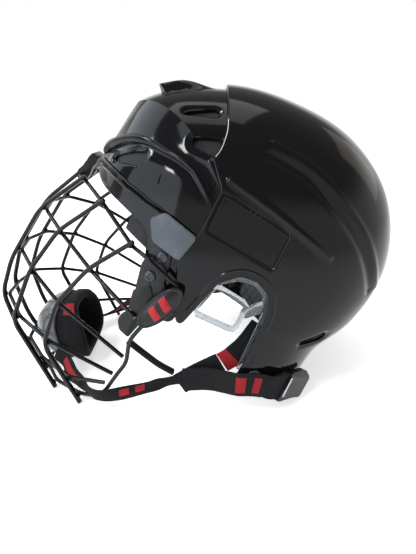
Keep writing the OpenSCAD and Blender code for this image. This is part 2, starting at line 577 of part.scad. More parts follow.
chin_widths = [[0, 0, 0.6], [0, 0, 0.5], [0, 0.1, 0.34], [0, 0.6, 0.12], [0, 0.5, 0.26], [0, 0.3, 0.42],
    [0, 0.1, 0.46], [0, 0.05, 0.42], [0, 0, 0.36], [0.3, 0.2, 0.3], [0.4, 0.3, 0.35], [0.2, 0.2, 0.6],
        [0.1, 0, 0.8]];
module chin_strap() webbing(chin_path, chin_widths, strap_w, strap_t);
module chin_strap_left() color(soft_black) place() chin_strap();
module chin_strap_right() color(soft_black) place() mirror([0, 1, 0]) chin_strap();
// The end plate that the strap's tail enters, which lies along the shell, and its raised front bar
buckle_wall = 1.4;
buckle_face = strap_t / 2 + 0.4 + buckle_wall;
module on_strap(i, j, share) {
    mid = rear_path[i] * (1 - share) + rear_path[j] * share;
    go = unit(rear_path[j] - rear_path[i]);
    out = unit(cross(go, [0, 0, 1]));
    up = cross(out, go);
    multmatrix([[go.x, up.x, out.x, mid.x], [go.y, up.y, out.y, mid.y],
        [go.z, up.z, out.z, mid.z]]) children();
}
module strap_buckle() on_strap(1, 0, 0.55) {
    difference() {
        translate([0, 0, -buckle_face]) linear_extrude(2 * buckle_face) offset(r = 2.5, $fn = 16)
            offset(delta = -2.5)
            polygon([[-16, -11.5], [-3, 10.6], [15.5, 10.6], [24, 2.5], [14, -13], [4, -11.5]]);
        translate([-20, -strap_w / 2 - 0.5, -strap_t / 2 - 0.4]) cube([36, strap_w + 1, strap_t + 0.8]);
    }
    translate([-8, 0, buckle_face - 0.2]) rotate(61) translate([-9, -1, 0]) cube([18, 2, 1.4]);
}
anchor_d = 10;
anchor_t = 1.6;
module strap_anchor() on_strap(4, 3, 0.5)
    translate([0, 6.5, -strap_t / 2 - 0.15 - anchor_t]) cylinder(d = anchor_d, h = anchor_t, $fn = 24);
module strap_anchor_left() color(steel) place() strap_anchor();
module strap_anchor_right() color(steel) place() mirror([0, 1, 0]) strap_anchor();
module strap_buckle_left() color(black) place() strap_buckle();
module strap_buckle_right() color(black) place() mirror([0, 1, 0]) strap_buckle();

// The ear straps: one from inside the rear shell, one from the side clip, joined at a tab
ear_path = [[25, -88, -12], [14, -90, -27], [4, -92, -36], [-4, -tab_y, -41]];
tab_path = [[-5, -tab_y, -41.5], [-22, -tab_y, -50.5], [-37, -tab_y, -60]];
front_path = [[-75.5, -90.6, -23.5], [-66, -92.5, -31], [-59, -tab_y, -37], [-52, -tab_y, -43],
    [-42, -tab_y + 1.7, -50.3]];
module ear_strap() webbing(ear_path, [for (p = ear_path) [-0.5, 0, 0.8]], strap_w - 2, strap_t);
module strap_tab() webbing(tab_path, [for (p = tab_path) [-0.5, 0, 0.86]], strap_w - 1, 2);
module front_strap() oval_bar(rounded(front_path, 6, 2), 6, 4, [0, 1, 0], 8);
module ear_strap_left() color([0.5, 0.05, 0.08]) place() ear_strap();
module ear_strap_right() color([0.5, 0.05, 0.08]) place() mirror([0, 1, 0]) ear_strap();
module strap_tab_left() color(soft_black) place() strap_tab();
module strap_tab_right() color(soft_black) place() mirror([0, 1, 0]) strap_tab();
module front_strap_left() color(soft_black) place() front_strap();
module front_strap_right() color(soft_black) place() mirror([0, 1, 0]) front_strap();

front_shell();
rear_shell();
brow_pad();
front_crown_pad();
front_side_pads();
rear_crown_pad();
back_pad();
rear_side_pads();
nape_pad();
ear_guard_left();
ear_guard_right();
ear_guard_rivets();
temple_panel_left();
temple_panel_right();
brow_clip();
brow_clip_screw();
clip_bracket_left();
clip_bracket_right();
clip_screws_left();
clip_screws_right();
clip_cover_left();
clip_cover_right();
clip_tongue_left();
clip_tongue_right();
cage_bar_centre();
cage_bars_inner();
cage_bars_middle();
cage_bars_outer();
cage_rim();
cage_wire_eyes();
cage_wire_nose();
cage_wire_mouth();
cage_wire_chin();
chin_cup_shell();
chin_cup_pad();
chin_strap_left();
chin_strap_right();
rear_strap_left();
rear_strap_right();
strap_buckle_left();
strap_buckle_right();
strap_anchor_left();
strap_anchor_right();
ear_strap_left();
ear_strap_right();
strap_tab_left();
strap_tab_right();
front_strap_left();
front_strap_right();
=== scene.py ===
import math
import bpy
import bmesh
import numpy as np
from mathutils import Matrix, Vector


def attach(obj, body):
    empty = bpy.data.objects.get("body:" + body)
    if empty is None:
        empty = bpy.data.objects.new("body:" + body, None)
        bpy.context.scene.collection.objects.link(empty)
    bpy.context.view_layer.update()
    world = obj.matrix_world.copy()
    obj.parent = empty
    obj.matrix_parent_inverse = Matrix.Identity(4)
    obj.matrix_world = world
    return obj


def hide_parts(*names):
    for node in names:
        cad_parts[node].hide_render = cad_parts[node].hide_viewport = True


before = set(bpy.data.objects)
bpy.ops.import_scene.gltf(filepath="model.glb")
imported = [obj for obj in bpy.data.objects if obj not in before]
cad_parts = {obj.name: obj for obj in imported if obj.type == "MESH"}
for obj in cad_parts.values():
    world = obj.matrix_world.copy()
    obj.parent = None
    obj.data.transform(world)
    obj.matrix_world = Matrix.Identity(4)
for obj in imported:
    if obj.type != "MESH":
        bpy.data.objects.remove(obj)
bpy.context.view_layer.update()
print("frame loaded:", len(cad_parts), "nodes")

mm = 0.001
earCentre = np.array([29.285, 0.0, 83.0])  # where the ear centre stands, in mm from the frame's origin
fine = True
bothSides = ("Left", "Right")


def unit(v):
    v = np.asarray(v, float)
    return v / np.maximum(np.linalg.norm(v, axis=-1, keepdims=True), 1e-9)


def rounded(points, radius, steps):
    p = [np.asarray(q, float) for q in points]
    out = [p[0]]
    for i in range(1, len(p) - 1):
        a, b = p[i - 1] - p[i], p[i + 1] - p[i]
        k = min(radius, np.linalg.norm(a) / 2.1, np.linalg.norm(b) / 2.1)
        for s in range(steps + 1):
            t = s / steps
            out.append(p[i] + unit(a) * k * (1 - t) ** 2 + unit(b) * k * t ** 2)
    out.append(p[-1])
    return np.array(out)


def roundedLoop(points, radius, steps):
    p = list(points)
    ring = rounded(p[-1:] + p + p[:1], radius, steps)
    return ring[1:-1]


def between(a, b, c, d, t):
    # the point at share t of the way from b to c, on the smooth curve through all four
    bend, twist = 2 * a - 5 * b + 4 * c - d, 3 * b - a - 3 * c + d
    return 0.5 * (2 * b + (c - a) * t + bend * t * t + twist * t ** 3)


def spline(points, steps):
    p = np.asarray(points, float)
    ends = np.vstack([2 * p[0] - p[1], p, 2 * p[-1] - p[-2]])
    out = [between(*ends[i:i + 4], s / steps) for i in range(len(p) - 1) for s in range(steps)]
    return np.array(out + [p[-1]])


def mirrored(points):
    return np.asarray(points, float) * np.array([1, -1, 1])


def sectionAxes(path, wide, closed=False):
    # at each point of a path, the ways that a section's width, squared to the path, and thickness run
    go = unit(np.roll(path, -1, axis=0) - np.roll(path, 1, axis=0) if closed else np.gradient(path, axis=0))
    a = unit(wide - go * (wide * go).sum(1, keepdims=True))
    return a, np.cross(go, a)


def ringFaces(rings, sides, closed=False):
    faces = []
    for i in range(rings if closed else rings - 1):
        a, b = i * sides, ((i + 1) % rings) * sides
        faces += [(a + j, a + (j + 1) % sides, b + (j + 1) % sides, b + j) for j in range(sides)]
    if not closed:
        faces.append(tuple(range(sides - 1, -1, -1)))
        faces.append(tuple((rings - 1) * sides + j for j in range(sides)))
    return faces


def sweep(path, wide, halfWidth, halfThick, sides=16, power=1.0, closed=False):
    # a section of a given half width and half thickness, swept along a path; power below 1 squares it off
    path = np.asarray(path, float)
    a, b = sectionAxes(path, np.broadcast_to(np.asarray(wide, float), path.shape), closed)
    turn = 2 * math.pi * (np.arange(sides) + 0.5) / sides
    ca, sa = (np.sign(wave) * np.abs(wave) ** power for wave in (np.cos(turn), np.sin(turn)))
    w, t = (np.broadcast_to(np.asarray(half, float), (len(path),)) for half in (halfWidth, halfThick))
    points = path[:, None] + a[:, None] * (ca[None, :, None] * w[:, None, None]) \
        + b[:, None] * (sa[None, :, None] * t[:, None, None])
    run = np.concatenate([[0], np.cumsum(np.linalg.norm(np.diff(path, axis=0), axis=1))])
    uv = np.stack([np.repeat(run[:, None], sides, 1), ca[None] * w[:, None] + 0 * run[:, None]], -1)
    return points.reshape(-1, 3), ringFaces(len(path), sides, closed), uv.reshape(-1, 2) * mm


def solid(points, faces):
    # a closed part with its faces turned to the outside
    tri = [(f[0], f[i], f[i + 1]) for f in faces for i in range(1, len(f) - 1)]
    p = points[np.array(tri)]
    volume = np.einsum("ij,ij->i", p[:, 0], np.cross(p[:, 1], p[:, 2])).sum()
    return points, (faces if volume > 0 else [tuple(reversed(list(f))) for f in faces])


def prism(outline, fromY, toY):
    # an outline of [x, z] drawn out along y
    n = len(outline)
    points = np.array([(p[0], y, p[1]) for y in (fromY, toY) for p in outline])
    faces = [(i, (i + 1) % n, n + (i + 1) % n, n + i) for i in range(n)]
    return solid(points, faces + [tuple(range(n - 1, -1, -1)), tuple(range(n, 2 * n))])


def joinParts(parts):
    points, faces, uvs, start = [], [], [], 0
    for part in parts:
        points.append(part[0])
        faces += [tuple(i + start for i in f) for f in part[1]]
        uvs.append(part[2] if len(part) > 2 else np.zeros((len(part[0]), 2)))
        start += len(part[0])
    return np.vstack(points), faces, np.vstack(uvs)


def flipped(part):
    return (mirrored(part[0]), [tuple(reversed(f)) for f in part[1]], *part[2:])


def addObject(name, data):
    made = bpy.data.objects.new(name, data)
    bpy.context.scene.collection.objects.link(made)
    return made


def shade(mesh, sharp):
    mesh.polygons.foreach_set("use_smooth", [True] * len(mesh.polygons))
    mesh.set_sharp_from_angle(angle=math.radians(sharp))


def makePiece(name, part, material, sharp=35):
    # a part is its points, its faces and for a swept one how far each point is along and across, in metres
    mesh = bpy.data.meshes.new(name)
    mesh.from_pydata(((part[0] + earCentre) * mm).tolist(), [], [list(map(int, f)) for f in part[1]])
    shade(mesh, sharp)
    if len(part) > 2:
        layer = mesh.uv_layers.new(name="along")
        corner = np.empty(len(mesh.loops), dtype=np.int32)
        mesh.loops.foreach_get("vertex_index", corner)
        layer.data.foreach_set("uv", part[2][corner].astype(np.float32).ravel())
    mesh.materials.append(material)
    return addObject(name, mesh)


def settle(piece, body, *nodes):
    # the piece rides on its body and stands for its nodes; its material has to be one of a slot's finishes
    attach(piece, body)
    if any(nodes):
        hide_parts(*nodes)
    next(slot for slot, finishes in slots.items() if piece.data.materials[0] in finishes)


def sideNode(node, side):
    return node and node + "_" + side.lower()


def makePair(name, node, part, material, body, sharp=60, sides=bothSides):
    for side in sides:
        shape = part if side == "Left" else flipped(part)
        settle(makePiece(name + side, shape, material, sharp), body, sideNode(node, side))


def applyModifiers(piece):
    bpy.context.view_layer.update()
    done = bpy.data.meshes.new_from_object(piece.evaluated_get(bpy.context.evaluated_depsgraph_get()))
    piece.modifiers.clear()
    piece.data = done


def combine(piece, tool, operation):
    # the tool is an object, or a list of parts to make it from
    if isinstance(tool, list):
        tool = makePiece("tool", joinParts(tool)[:2], gloss)
    step = piece.modifiers.new("combine", "BOOLEAN")
    step.operation, step.object, step.solver = operation, tool, "MANIFOLD"
    applyModifiers(piece)
    bpy.data.objects.remove(tool)


class Sock:
    def __init__(self, graph, link):
        self.graph, self.link = graph, link

    def math(self, operation, *others):
        return self.graph.node("ShaderNodeMath", {"operation": operation}, [self, *others])[0]

    def __add__(self, other):
        return self.math("ADD", other)

    def __sub__(self, other):
        return self.math("SUBTRACT", other)

    def __mul__(self, other):
        return self.math("MULTIPLY", other)

    __radd__, __rmul__ = __add__, __mul__

    def sine(self):
        return self.math("SINE")

    def over(self, other):
        return self.math("MAXIMUM", other)

    def step(self, edge, soft):
        # 0 below edge - soft, 1 above edge + soft
        return (self - (edge - soft)).math("DIVIDE", 2 * soft).over(0.0).math("MINIMUM", 1.0)


class Graph:
    # the node tree of a new material or world
    inputs = {"color": "Base Color", "rough": "Roughness", "metal": "Metallic", "normal": "Normal",
              "coat": "Coat Weight", "sheen": "Sheen Weight", "clear": "Transmission Weight", "ior": "IOR",
              "glow": "Emission Strength", "light": "Emission Color"}

    def __init__(self, name, kind="materials", shader="Principled BSDF"):
        self.owner = getattr(bpy.data, kind).new(name)
        self.owner.use_nodes = True
        self.tree = self.owner.node_tree
        self.shader = self.tree.nodes[shader]

    def feed(self, node, values):
        for key, value in enumerate(values) if isinstance(values, list) else values.items():
            if isinstance(value, Sock):
                self.tree.links.new(value.link, node.inputs[key])
            else:
                node.inputs[key].default_value = (*value, 1) if isinstance(value, tuple) else value

    def node(self, kind, settings, values):
        made = self.tree.nodes.new(kind)
        for key, value in settings.items():
            setattr(made, key, value)
        self.feed(made, values)
        return [Sock(self, s) for s in made.outputs]

    def coordinates(self, which="Object"):
        return {s.link.name: s for s in self.node("ShaderNodeTexCoord", {}, [])}[which]

    def rays(self):
        # rays straight from the camera, and those that come to it by a reflection or through something clear
        sorts = {s.link.name: s for s in self.node("ShaderNodeLightPath", {}, [])}
        return sorts["Is Camera Ray"], sorts["Is Glossy Ray"].over(sorts["Is Transmission Ray"])

    def noise(self, scale, detail, rough, distort=0.0):
        values = {"Scale": scale, "Detail": detail, "Roughness": rough, "Distortion": distort}
        return self.node("ShaderNodeTexNoise", {}, {"Vector": self.coordinates(), **values})[0]

    def mix(self, share, a, b):
        # the colour mixer's own numbers: 0 is its share, 6 and 7 its two colours, 2 the mixed one
        return self.node("ShaderNodeMix", {"data_type": "RGBA"}, {0: share, 6: a, 7: b})[2]

    def bump(self, height, strength, distance):
        values = {"Strength": strength, "Distance": distance, "Height": height}
        return self.node("ShaderNodeBump", {}, values)[0]

    def set(self, **values):
        self.feed(self.shader, {self.inputs[key]: value for key, value in values.items()})
        return self.owner


def glossShell():
    g = Graph("glossShell")
    haze = g.noise(9.0, 4.0, 0.6)
    marks = g.noise(160.0, 2.0, 0.7, 1.5).step(0.70, 0.04) * haze.step(0.55, 0.15)
    ripple = g.noise(55.0, 2.0, 0.4)
    tone = haze.step(0.6, 0.3) * 0.5 + marks * 0.2
    return g.set(color=g.mix(tone, (0.003, 0.003, 0.0036), (0.008, 0.008, 0.009)), ior=1.32,
                 rough=0.06 + haze * 0.06 + marks * 0.12, normal=g.bump(ripple, 0.05, 0.0004))


def satinMoulding(name, colour, rough):
    g = Graph(name)
    grain = g.noise(900.0, 3.0, 0.6)
    wear = g.noise(30.0, 4.0, 0.65).step(0.62, 0.1)
    lighter = tuple(c * 1.9 + 0.01 for c in colour)
    return g.set(color=g.mix(wear * 0.5, colour, lighter), rough=rough + grain * 0.12 - wear * 0.08,
                 normal=g.bump(grain, 0.25, 0.0002), ior=1.36)


def cageCoat():
    g = Graph("cageCoat")
    drips = g.noise(70.0, 3.0, 0.5)
    chips = g.noise(220.0, 2.0, 0.6).step(0.74, 0.02)
    return g.set(color=g.mix(chips * 0.6, (0.004, 0.004, 0.0045), (0.03, 0.029, 0.028)), ior=1.34,
                 rough=0.11 + drips * 0.1 + chips * 0.25, normal=g.bump(drips, 0.2, 0.0004))


def turnedSteel(name, dark, light):
    g = Graph(name)
    marks = g.noise(700.0, 2.0, 0.6)
    return g.set(color=g.mix(marks, dark, light), metal=0.9, rough=0.26 + marks * 0.15,
                 normal=g.bump(marks, 0.15, 0.0002))


def foam():
    g = Graph("linerFoam")
    size = {"Vector": g.coordinates(), "Scale": 420.0}
    cells = g.node("ShaderNodeTexVoronoi", {"feature": "SMOOTH_F1"}, size)[0]
    return g.set(color=g.mix(g.noise(60.0, 4.0, 0.6), (0.012, 0.012, 0.013), (0.028, 0.028, 0.029)), ior=1.45,
                 rough=0.82 + cells * 0.1, normal=g.bump(cells, 0.5, 0.0007))


def cupCloth():
    g = Graph("cupCloth")
    nap = g.noise(1100.0, 2.0, 0.7)
    soft = g.noise(45.0, 3.0, 0.5)
    return g.set(color=g.mix(soft, (0.006, 0.006, 0.007), (0.015, 0.015, 0.016)), rough=0.78 + nap * 0.15,
                 normal=g.bump(nap + soft * 0.6, 0.5, 0.0005), sheen=0.05, ior=1.25)


def greyCup():
    g = Graph("greyCup")
    flow = g.noise(40.0, 3.0, 0.5)
    return g.set(color=g.mix(flow, (0.055, 0.06, 0.063), (0.09, 0.095, 0.10)), rough=0.2 + flow * 0.14,
                 normal=g.bump(g.noise(300.0, 2.0, 0.5), 0.1, 0.0003), coat=0.3)


def clearMoulding():
    g = Graph("clearMoulding")
    flow = g.noise(35.0, 3.0, 0.5)
    return g.set(color=(0.50, 0.53, 0.55), rough=0.05 + flow * 0.08, clear=0.9, ior=1.49,
                 normal=g.bump(flow, 0.1, 0.0006))


def webbing(name, dark, light):
    # a broken twill in the strap's own run: uv is in metres along it and across it
    pitch, rib = 0.0011, 0.0016
    g = Graph(name)
    u, v, _ = g.node("ShaderNodeSeparateXYZ", {}, [g.coordinates("UV")])
    picks = (u * (2 * math.pi / pitch)).sine()
    ribs = (v * (2 * math.pi / rib) + picks * 1.3).sine()
    weave = ribs * 0.5 + picks * 0.35
    fuzz = g.noise(1500.0, 2.0, 0.7)
    tone = (weave * 0.5 + 0.5) * 0.7 + fuzz * 0.3
    return g.set(color=g.mix(tone, dark, light), rough=0.72 + fuzz * 0.2, sheen=0.05, ior=1.25,
                 normal=g.bump(weave + fuzz * 0.5, 0.55, 0.0004))


gloss = glossShell()
satin = satinMoulding("satinFitting", (0.005, 0.005, 0.006), 0.24)
tongueSatin = satinMoulding("softTongue", (0.011, 0.012, 0.013), 0.32)
coverGloss = satinMoulding("coverGloss", (0.007, 0.007, 0.008), 0.16)
buckleSatin = satinMoulding("buckleSatin", (0.008, 0.008, 0.009), 0.27)
templeSatin = satinMoulding("templeSatin", (0.075, 0.085, 0.100), 0.40)
redInlay = satinMoulding("redInlay", (0.42, 0.012, 0.022), 0.35)
coat = cageCoat()
screwSteel = turnedSteel("blackenedSteel", (0.03, 0.03, 0.033), (0.08, 0.08, 0.085))
barSteel = turnedSteel("brightSteel", (0.45, 0.47, 0.5), (0.65, 0.67, 0.7))
liner = foam()
cupFabric = cupCloth()
cupPlastic = greyCup()
clear = clearMoulding()
blackWeb = webbing("blackWebbing", (0.002, 0.002, 0.0025), (0.017, 0.017, 0.018))
redWeb = webbing("redWebbing", (0.20, 0.008, 0.012), (0.48, 0.03, 0.04))
slots = {
    "shell": [gloss], "cage_coat": [coat], "foam": [liner], "cup_pad": [cupFabric], "cup_shell": [cupPlastic],
    "fittings": [satin, tongueSatin, coverGloss, buckleSatin, templeSatin], "clear": [clear],
    "screws": [screwSteel, barSteel], "webbing": [blackWeb], "red_webbing": [redWeb, redInlay]}
print("materials made")

dome = {
    "width": 214, "fullness": 2.5, "wall": 2.6, "lap": 3.6, "inside": 6.2, "edge": 1.3, "start": -70,
    "step": 20,
    "reach": [110, 102.5, 98, 118, 139, 152, 156, 156, 160, 162, 152, 141]}


def reachAt(angle):
    reach = np.array(dome["reach"], float)
    last = len(reach) - 1
    u = np.clip((np.asarray(angle, float) - dome["start"]) / dome["step"], 0, last - 0.001)
    i = np.floor(u).astype(int)
    return between(reach[np.maximum(i - 1, 0)], reach[i], reach[i + 1], reach[np.minimum(i + 2, last)], u - i)


def domeAt(angle, tilt, inset):
    angle, tilt, inset = np.broadcast_arrays(*[np.asarray(v, float) for v in (angle, tilt, inset)])
    a, t = np.radians(angle), np.radians(tilt)
    power = 2 / dome["fullness"]
    r = (reachAt(angle) - inset) * np.cos(t) ** power
    y = np.sign(t) * (dome["width"] / 2 - inset) * np.abs(np.sin(t)) ** power
    return np.stack([r * np.cos(a), y, r * np.sin(a)], -1)


def roundAngle(x, z):
    a = np.degrees(np.arctan2(z, x))
    return np.where(a < -90, a + 360, a)


def sideY(x, z, inset):
    share = np.hypot(x, z) / (reachAt(roundAngle(x, z)) - inset)
    full = dome["fullness"]
    return (dome["width"] / 2 - inset) * np.maximum(0, 1 - share ** full) ** (1 / full)


def onSide(points, inset):
    p = np.asarray(points, float)
    return np.stack([p[:, 0], -sideY(p[:, 0], p[:, 1], inset), p[:, 1]], -1)


def outward(p):
    p = np.atleast_2d(p)
    a = roundAngle(p[:, 0], p[:, 2])
    r, m = np.hypot(p[:, 0], p[:, 2]), dome["fullness"] - 1
    g = r ** m / reachAt(a) ** dome["fullness"]
    a = np.radians(a)
    return unit(np.stack([g * np.cos(a), np.sign(p[:, 1]) * np.abs(p[:, 1]) ** m
                          / (dome["width"] / 2) ** dome["fullness"], g * np.sin(a)], -1))


def smooth(x, low, high):
    t = np.clip((x - low) / (high - low), 0, 1)
    return t * t * (3 - 2 * t)


def lineAt(table, tilt):
    return np.interp(np.abs(tilt), [p[0] for p in table], [p[1] for p in table])


def onLeft(points):
    flat = points.copy()
    flat[..., 1] = -np.abs(flat[..., 1])
    return flat


def toStretch(points, a, b):
    # how far along a straight stretch its nearest place is, 0 to 1, and how far away
    ab = b - a
    t = np.clip(((points - a) @ ab) / max(ab @ ab, 1e-9), 0, 1)
    return t, np.linalg.norm(points - (a + t[..., None] * ab), axis=-1)


def distanceToLine(points, line, closed=False):
    ends = list(zip(line[:-1], line[1:])) + ([(line[-1], line[0])] if closed else [])
    return np.min([toStretch(points, a, b)[1] for a, b in ends], axis=0)


def insideOutline(x, z, outline):
    inside = np.zeros(x.shape, bool)
    for (x1, z1), (x2, z2) in zip(outline, np.roll(outline, -1, axis=0)):
        if z1 != z2:
            inside ^= ((z1 > z) != (z2 > z)) & (x < (x2 - x1) * (z - z1) / (z2 - z1) + x1)
    return inside


def patch(points, outline, edge, radius):
    # 1 inside a side outline and 0 outside it, with a slope as wide as edge between them
    ring = onSide(roundedLoop(outline, radius, 3), 0)
    away = distanceToLine(onLeft(points), ring, True)
    inside = insideOutline(points[..., 0], points[..., 2], ring[:, ::2])
    return smooth(np.where(inside, away, -away), -edge / 2, edge / 2)


def slotDip(points, a, b, ra, rb, inset, lip, depth):
    # a dip round a round-ended slot: full depth at its rim, nothing a lip's width away
    t, away = toStretch(onLeft(points), *onSide([a, b], inset))
    return -depth * (1 - smooth(away - (ra + (rb - ra) * t), -0.5, lip))


def blockFaces(rows, columns):
    # a closed block from two grids of points, the outer one first: its two sheets and the walls between them
    index = np.arange(rows * columns).reshape(rows, columns)
    quads = np.stack([index[:-1, :-1], index[:-1, 1:], index[1:, 1:], index[1:, :-1]], -1).reshape(-1, 4)
    edge = np.concatenate([index[0, :-1], index[:-1, -1], index[-1, :0:-1], index[:0:-1, 0]])
    after, inner = np.roll(edge, -1), rows * columns
    walls = np.stack([edge, edge + inner, after + inner, after], -1)
    return np.vstack([quads, quads[:, ::-1] + inner, walls])


def sheetBlock(a, t, outer, inner):
    # a closed block between an outer and an inner sheet, over grids of angle and tilt
    points = np.vstack([domeAt(a, t, inset).reshape(-1, 3) for inset in (outer, inner)])
    return solid(points, blockFaces(*a.shape))


def spaced(path, gap):
    # the same run with points at an even gap
    run = np.concatenate([[0], np.cumsum(np.linalg.norm(np.diff(path, axis=0), axis=1))])
    at = np.linspace(0, run[-1], max(2, int(run[-1] / gap) + 1))
    return np.stack([np.interp(at, run, path[:, i]) for i in range(path.shape[1])], -1)


def sideLoop(outline, radius, inward):
    # a side outline with rounded corners, drawn in by a given width
    ring = roundedLoop(outline, radius, 6)
    ring = spaced(np.vstack([ring, ring[:1]]), 1.0)[:-1]
    following = np.roll(ring, -1, axis=0)
    go = unit(following - np.roll(ring, 1, axis=0))
    area = (ring[:, 0] * following[:, 1] - following[:, 0] * ring[:, 1]).sum()
    return ring + np.stack([-go[:, 1], go[:, 0]], -1) * inward * (1 if area > 0 else -1)


def edgeRoll(loop, inset):
    # a round edge along a side outline, on both sides of the shell and closed over the middle
    within = np.hypot(loop[:, 0], loop[:, 1]) < reachAt(roundAngle(loop[:, 0], loop[:, 1])) - inset - 0.05
    first = np.flatnonzero(within & ~np.roll(within, 1))[0]
    left = onSide(np.roll(loop, -first, axis=0)[np.roll(within, -first)], inset)
    ring = spaced(np.vstack([left, mirrored(left[::-1]), left[:1]]), 1.6 if fine else 3.2)[:-1]
    return solid(*sweep(ring, outward(ring), dome["edge"] + 0.1, dome["edge"] + 0.1, 14, closed=True)[:2])


def ventTool(a, b, ra, rb, inset, deep, flare=1.0):
    # a round-ended cutter between two side points, and its twin, wider where they leave the shell
    ends = onSide([a, b], inset)
    out = unit(outward(ends).mean(0))
    go = unit(ends[1] - ends[0])
    across = np.cross(go, out)
    # height over the shell, share of the flare
    levels = [(8, 2), (0.6, 1), (-0.3, 0.4), (-min(1.3, deep / 2), 0), (-deep, -0.3)]
    points, sides = [], 28
    for height, share in levels:
        for i in range(sides):
            turn = 2 * math.pi * (i + 0.5) / sides
            end, r = (ends[0], ra) if math.cos(turn) < 0 else (ends[1], rb)
            way = go * math.cos(turn) + across * math.sin(turn)
            points.append(end + way * (r + share * flare) + out * height)
    cutter = solid(np.array(points), ringFaces(len(levels), sides))
    return [cutter, flipped(cutter)]


def lineTool(line, inset, radius, closed=False):
    # a thin round run laid along a side line, and its twin, to cut a groove or raise a bead
    path = roundedLoop(line, 3, 4) if closed else rounded(line, 8, 8)
    path = spaced(onSide(np.vstack([path, path[:1]]) if closed else path, inset), 1.2)
    path = path[:-1] if closed else path
    part = sweep(path, outward(path), radius, radius, 10, closed=closed)
    return [part, flipped(part)]


def hullTool(centres, radius):
    # the hull of a few balls
    work = bmesh.new()
    for centre in centres:
        ball = bmesh.ops.create_icosphere(work, subdivisions=2, radius=radius * mm)
        bmesh.ops.translate(work, verts=ball["verts"], vec=Vector((centre + earCentre) * mm))
    hull = bmesh.ops.convex_hull(work, input=list(work.verts))
    loose = {v for v in hull["geom_interior"] + hull["geom_unused"] if isinstance(v, bmesh.types.BMVert)}
    bmesh.ops.delete(work, geom=list(loose), context="VERTS")
    mesh = bpy.data.meshes.new("hull")
    work.to_mesh(mesh)
    work.free()
    return addObject("hull", mesh)


def makeShell(name, a, t, relief, inset, outline, radius, vents):
    # a moulded sheet cut to its outline, with a round edge and its vents
    shell = makePiece(name, sheetBlock(a, t, inset - relief, inset + dome["wall"]), gloss)
    loop = sideLoop(outline, radius, dome["edge"])
    combine(shell, [prism(loop, -130, 130)], "INTERSECT")
    combine(shell, [edgeRoll(loop, inset + dome["wall"] / 2)], "UNION")
    combine(shell, [part for vent in vents for part in ventTool(*vent, inset, 10)], "DIFFERENCE")
    return shell


def finishShell(shell, body, node):
    shade(shell.data, 22)
    settle(shell, body, node)
    print(shell.name, len(shell.data.polygons), "faces")


seamLine = [(0, 180), (-1, 141), (-2.2, 126.3), (-6.3, 115.4), (-12, 109), (-6, 90), (-20, 64)]
browRim = [(-112, 101), (-104, 100), (-99, 98), (-95, 92), (-88, 86), (-76, 78), (-64, 69), (-57, 61)]
frontLeg = [(-59, 41), (-63, 21), (-61, 7), (-54, -1), (-42, -4), (-36, 4), (-34, 22), (-31, 42), (-20, 58),
            (6.5, 74.5)]
rearArm = [(-29, 54), (-36, 42), (-38, 22), (-39, 6), (-37, -3), (-33, -2)]
earEdge = [(-8, 28), (7, 33), (19, 29), (26, 20), (27, 7), (9, -41)]
napeRim = [(2, -55), (10, -64), (45, -83)]

frontLook = {
    "crestAngle": [(0, 115), (8, 115), (60, 94), (90, 84)],
    "crestHeight": [(8, 6.5), (20, 5.4), (36, 3.8), (46, 2.0), (54, 0.6), (60, 0)],
    "archAngle": [(0, 129.5), (14, 129.5), (17, 126.5), (27.6, 120), (35, 116), (44, 111), (54, 103.4),
                  (60, 101), (90, 91)],
    "archHeight": [(0, 3.4), (20, 3.4), (35, 2.9), (50, 1.9), (60, 0.8), (64, 0)],
    "archHalf": [(0, 1.9), (20, 1.7), (35, 1.3), (50, 1.0), (64, 0.7)],
    "beadAngle": [(0, 134), (19, 131), (33, 128.7), (44, 126.8), (54.6, 123.2), (62.5, 118.6), (90, 112)],
    "beadHeight": 1.5, "beadOffsets": [0, 0.25, 0.5, 0.85, 1.3, 1.8, 2.2, 2.5, 2.8],
    "beadShares": [0, 0.75, 1, 0.7, -0.35, 0.25, 0.7, 0.5, 0], "dip": 5.5, "pocket": 1.75, "deepest": -1.75,
    "ventDip": 1.7,
    "scoop": {"high": 6.5, "half": 25.0, "narrowing": 5.0, "lip": 0.745},
    "vents": [((-29.1, 137.8), (-10.7, 138.6), 2.5, 4), ((-21.7, 119.4), (-11.2, 116.8), 3.5, 6.5),
              ((-81.3, 108.5), (-62.0, 109.8), 3, 5)],
    "lips": [3.5, 6.0, 3.0],
    "marks": [((-9.9, 94), (-14.6, 86), 0.5, 0.8), ((-47, 98.5), (-48.6, 93.5), 0.35, 0.45)],
}


def frontGrid():
    # the rows follow the crest, the arch and the bead, so that each of them runs along an edge
    few, many = (30, 230) if fine else (15, 96)
    side = np.concatenate([np.linspace(0, 20, few), np.linspace(20.3, 88, many)])
    tilts = np.concatenate([-side[:0:-1], side])
    look = frontLook
    crest, arch, half = (lineAt(look[k], tilts) for k in ("crestAngle", "archAngle", "archHalf"))
    bead = np.maximum(lineAt(look["beadAngle"], tilts), arch + 4.7)
    start = np.minimum(88, crest - 8)
    lip = look["scoop"]["lip"]
    rise = crest - start
    stops = [50 + 0 * crest, start, start + rise * lip, start + rise * (lip + 0.012), crest, arch - half,
             arch + half, bead, bead + 3.2, 200 + 0 * crest]
    counts = [20, 44, 2, 16, 26, 18, 26, 20, 60]
    rows = []
    for low, high, count in zip(stops[:-1], stops[1:], counts):
        count = count if fine or count < 3 else max(count // 2, 6)
        rows += [low + (high - low) * i / count for i in range(count)]
    a = np.array(rows + [stops[-1]])
    return a, np.broadcast_to(tilts, a.shape), (crest, arch, half, bead, start)


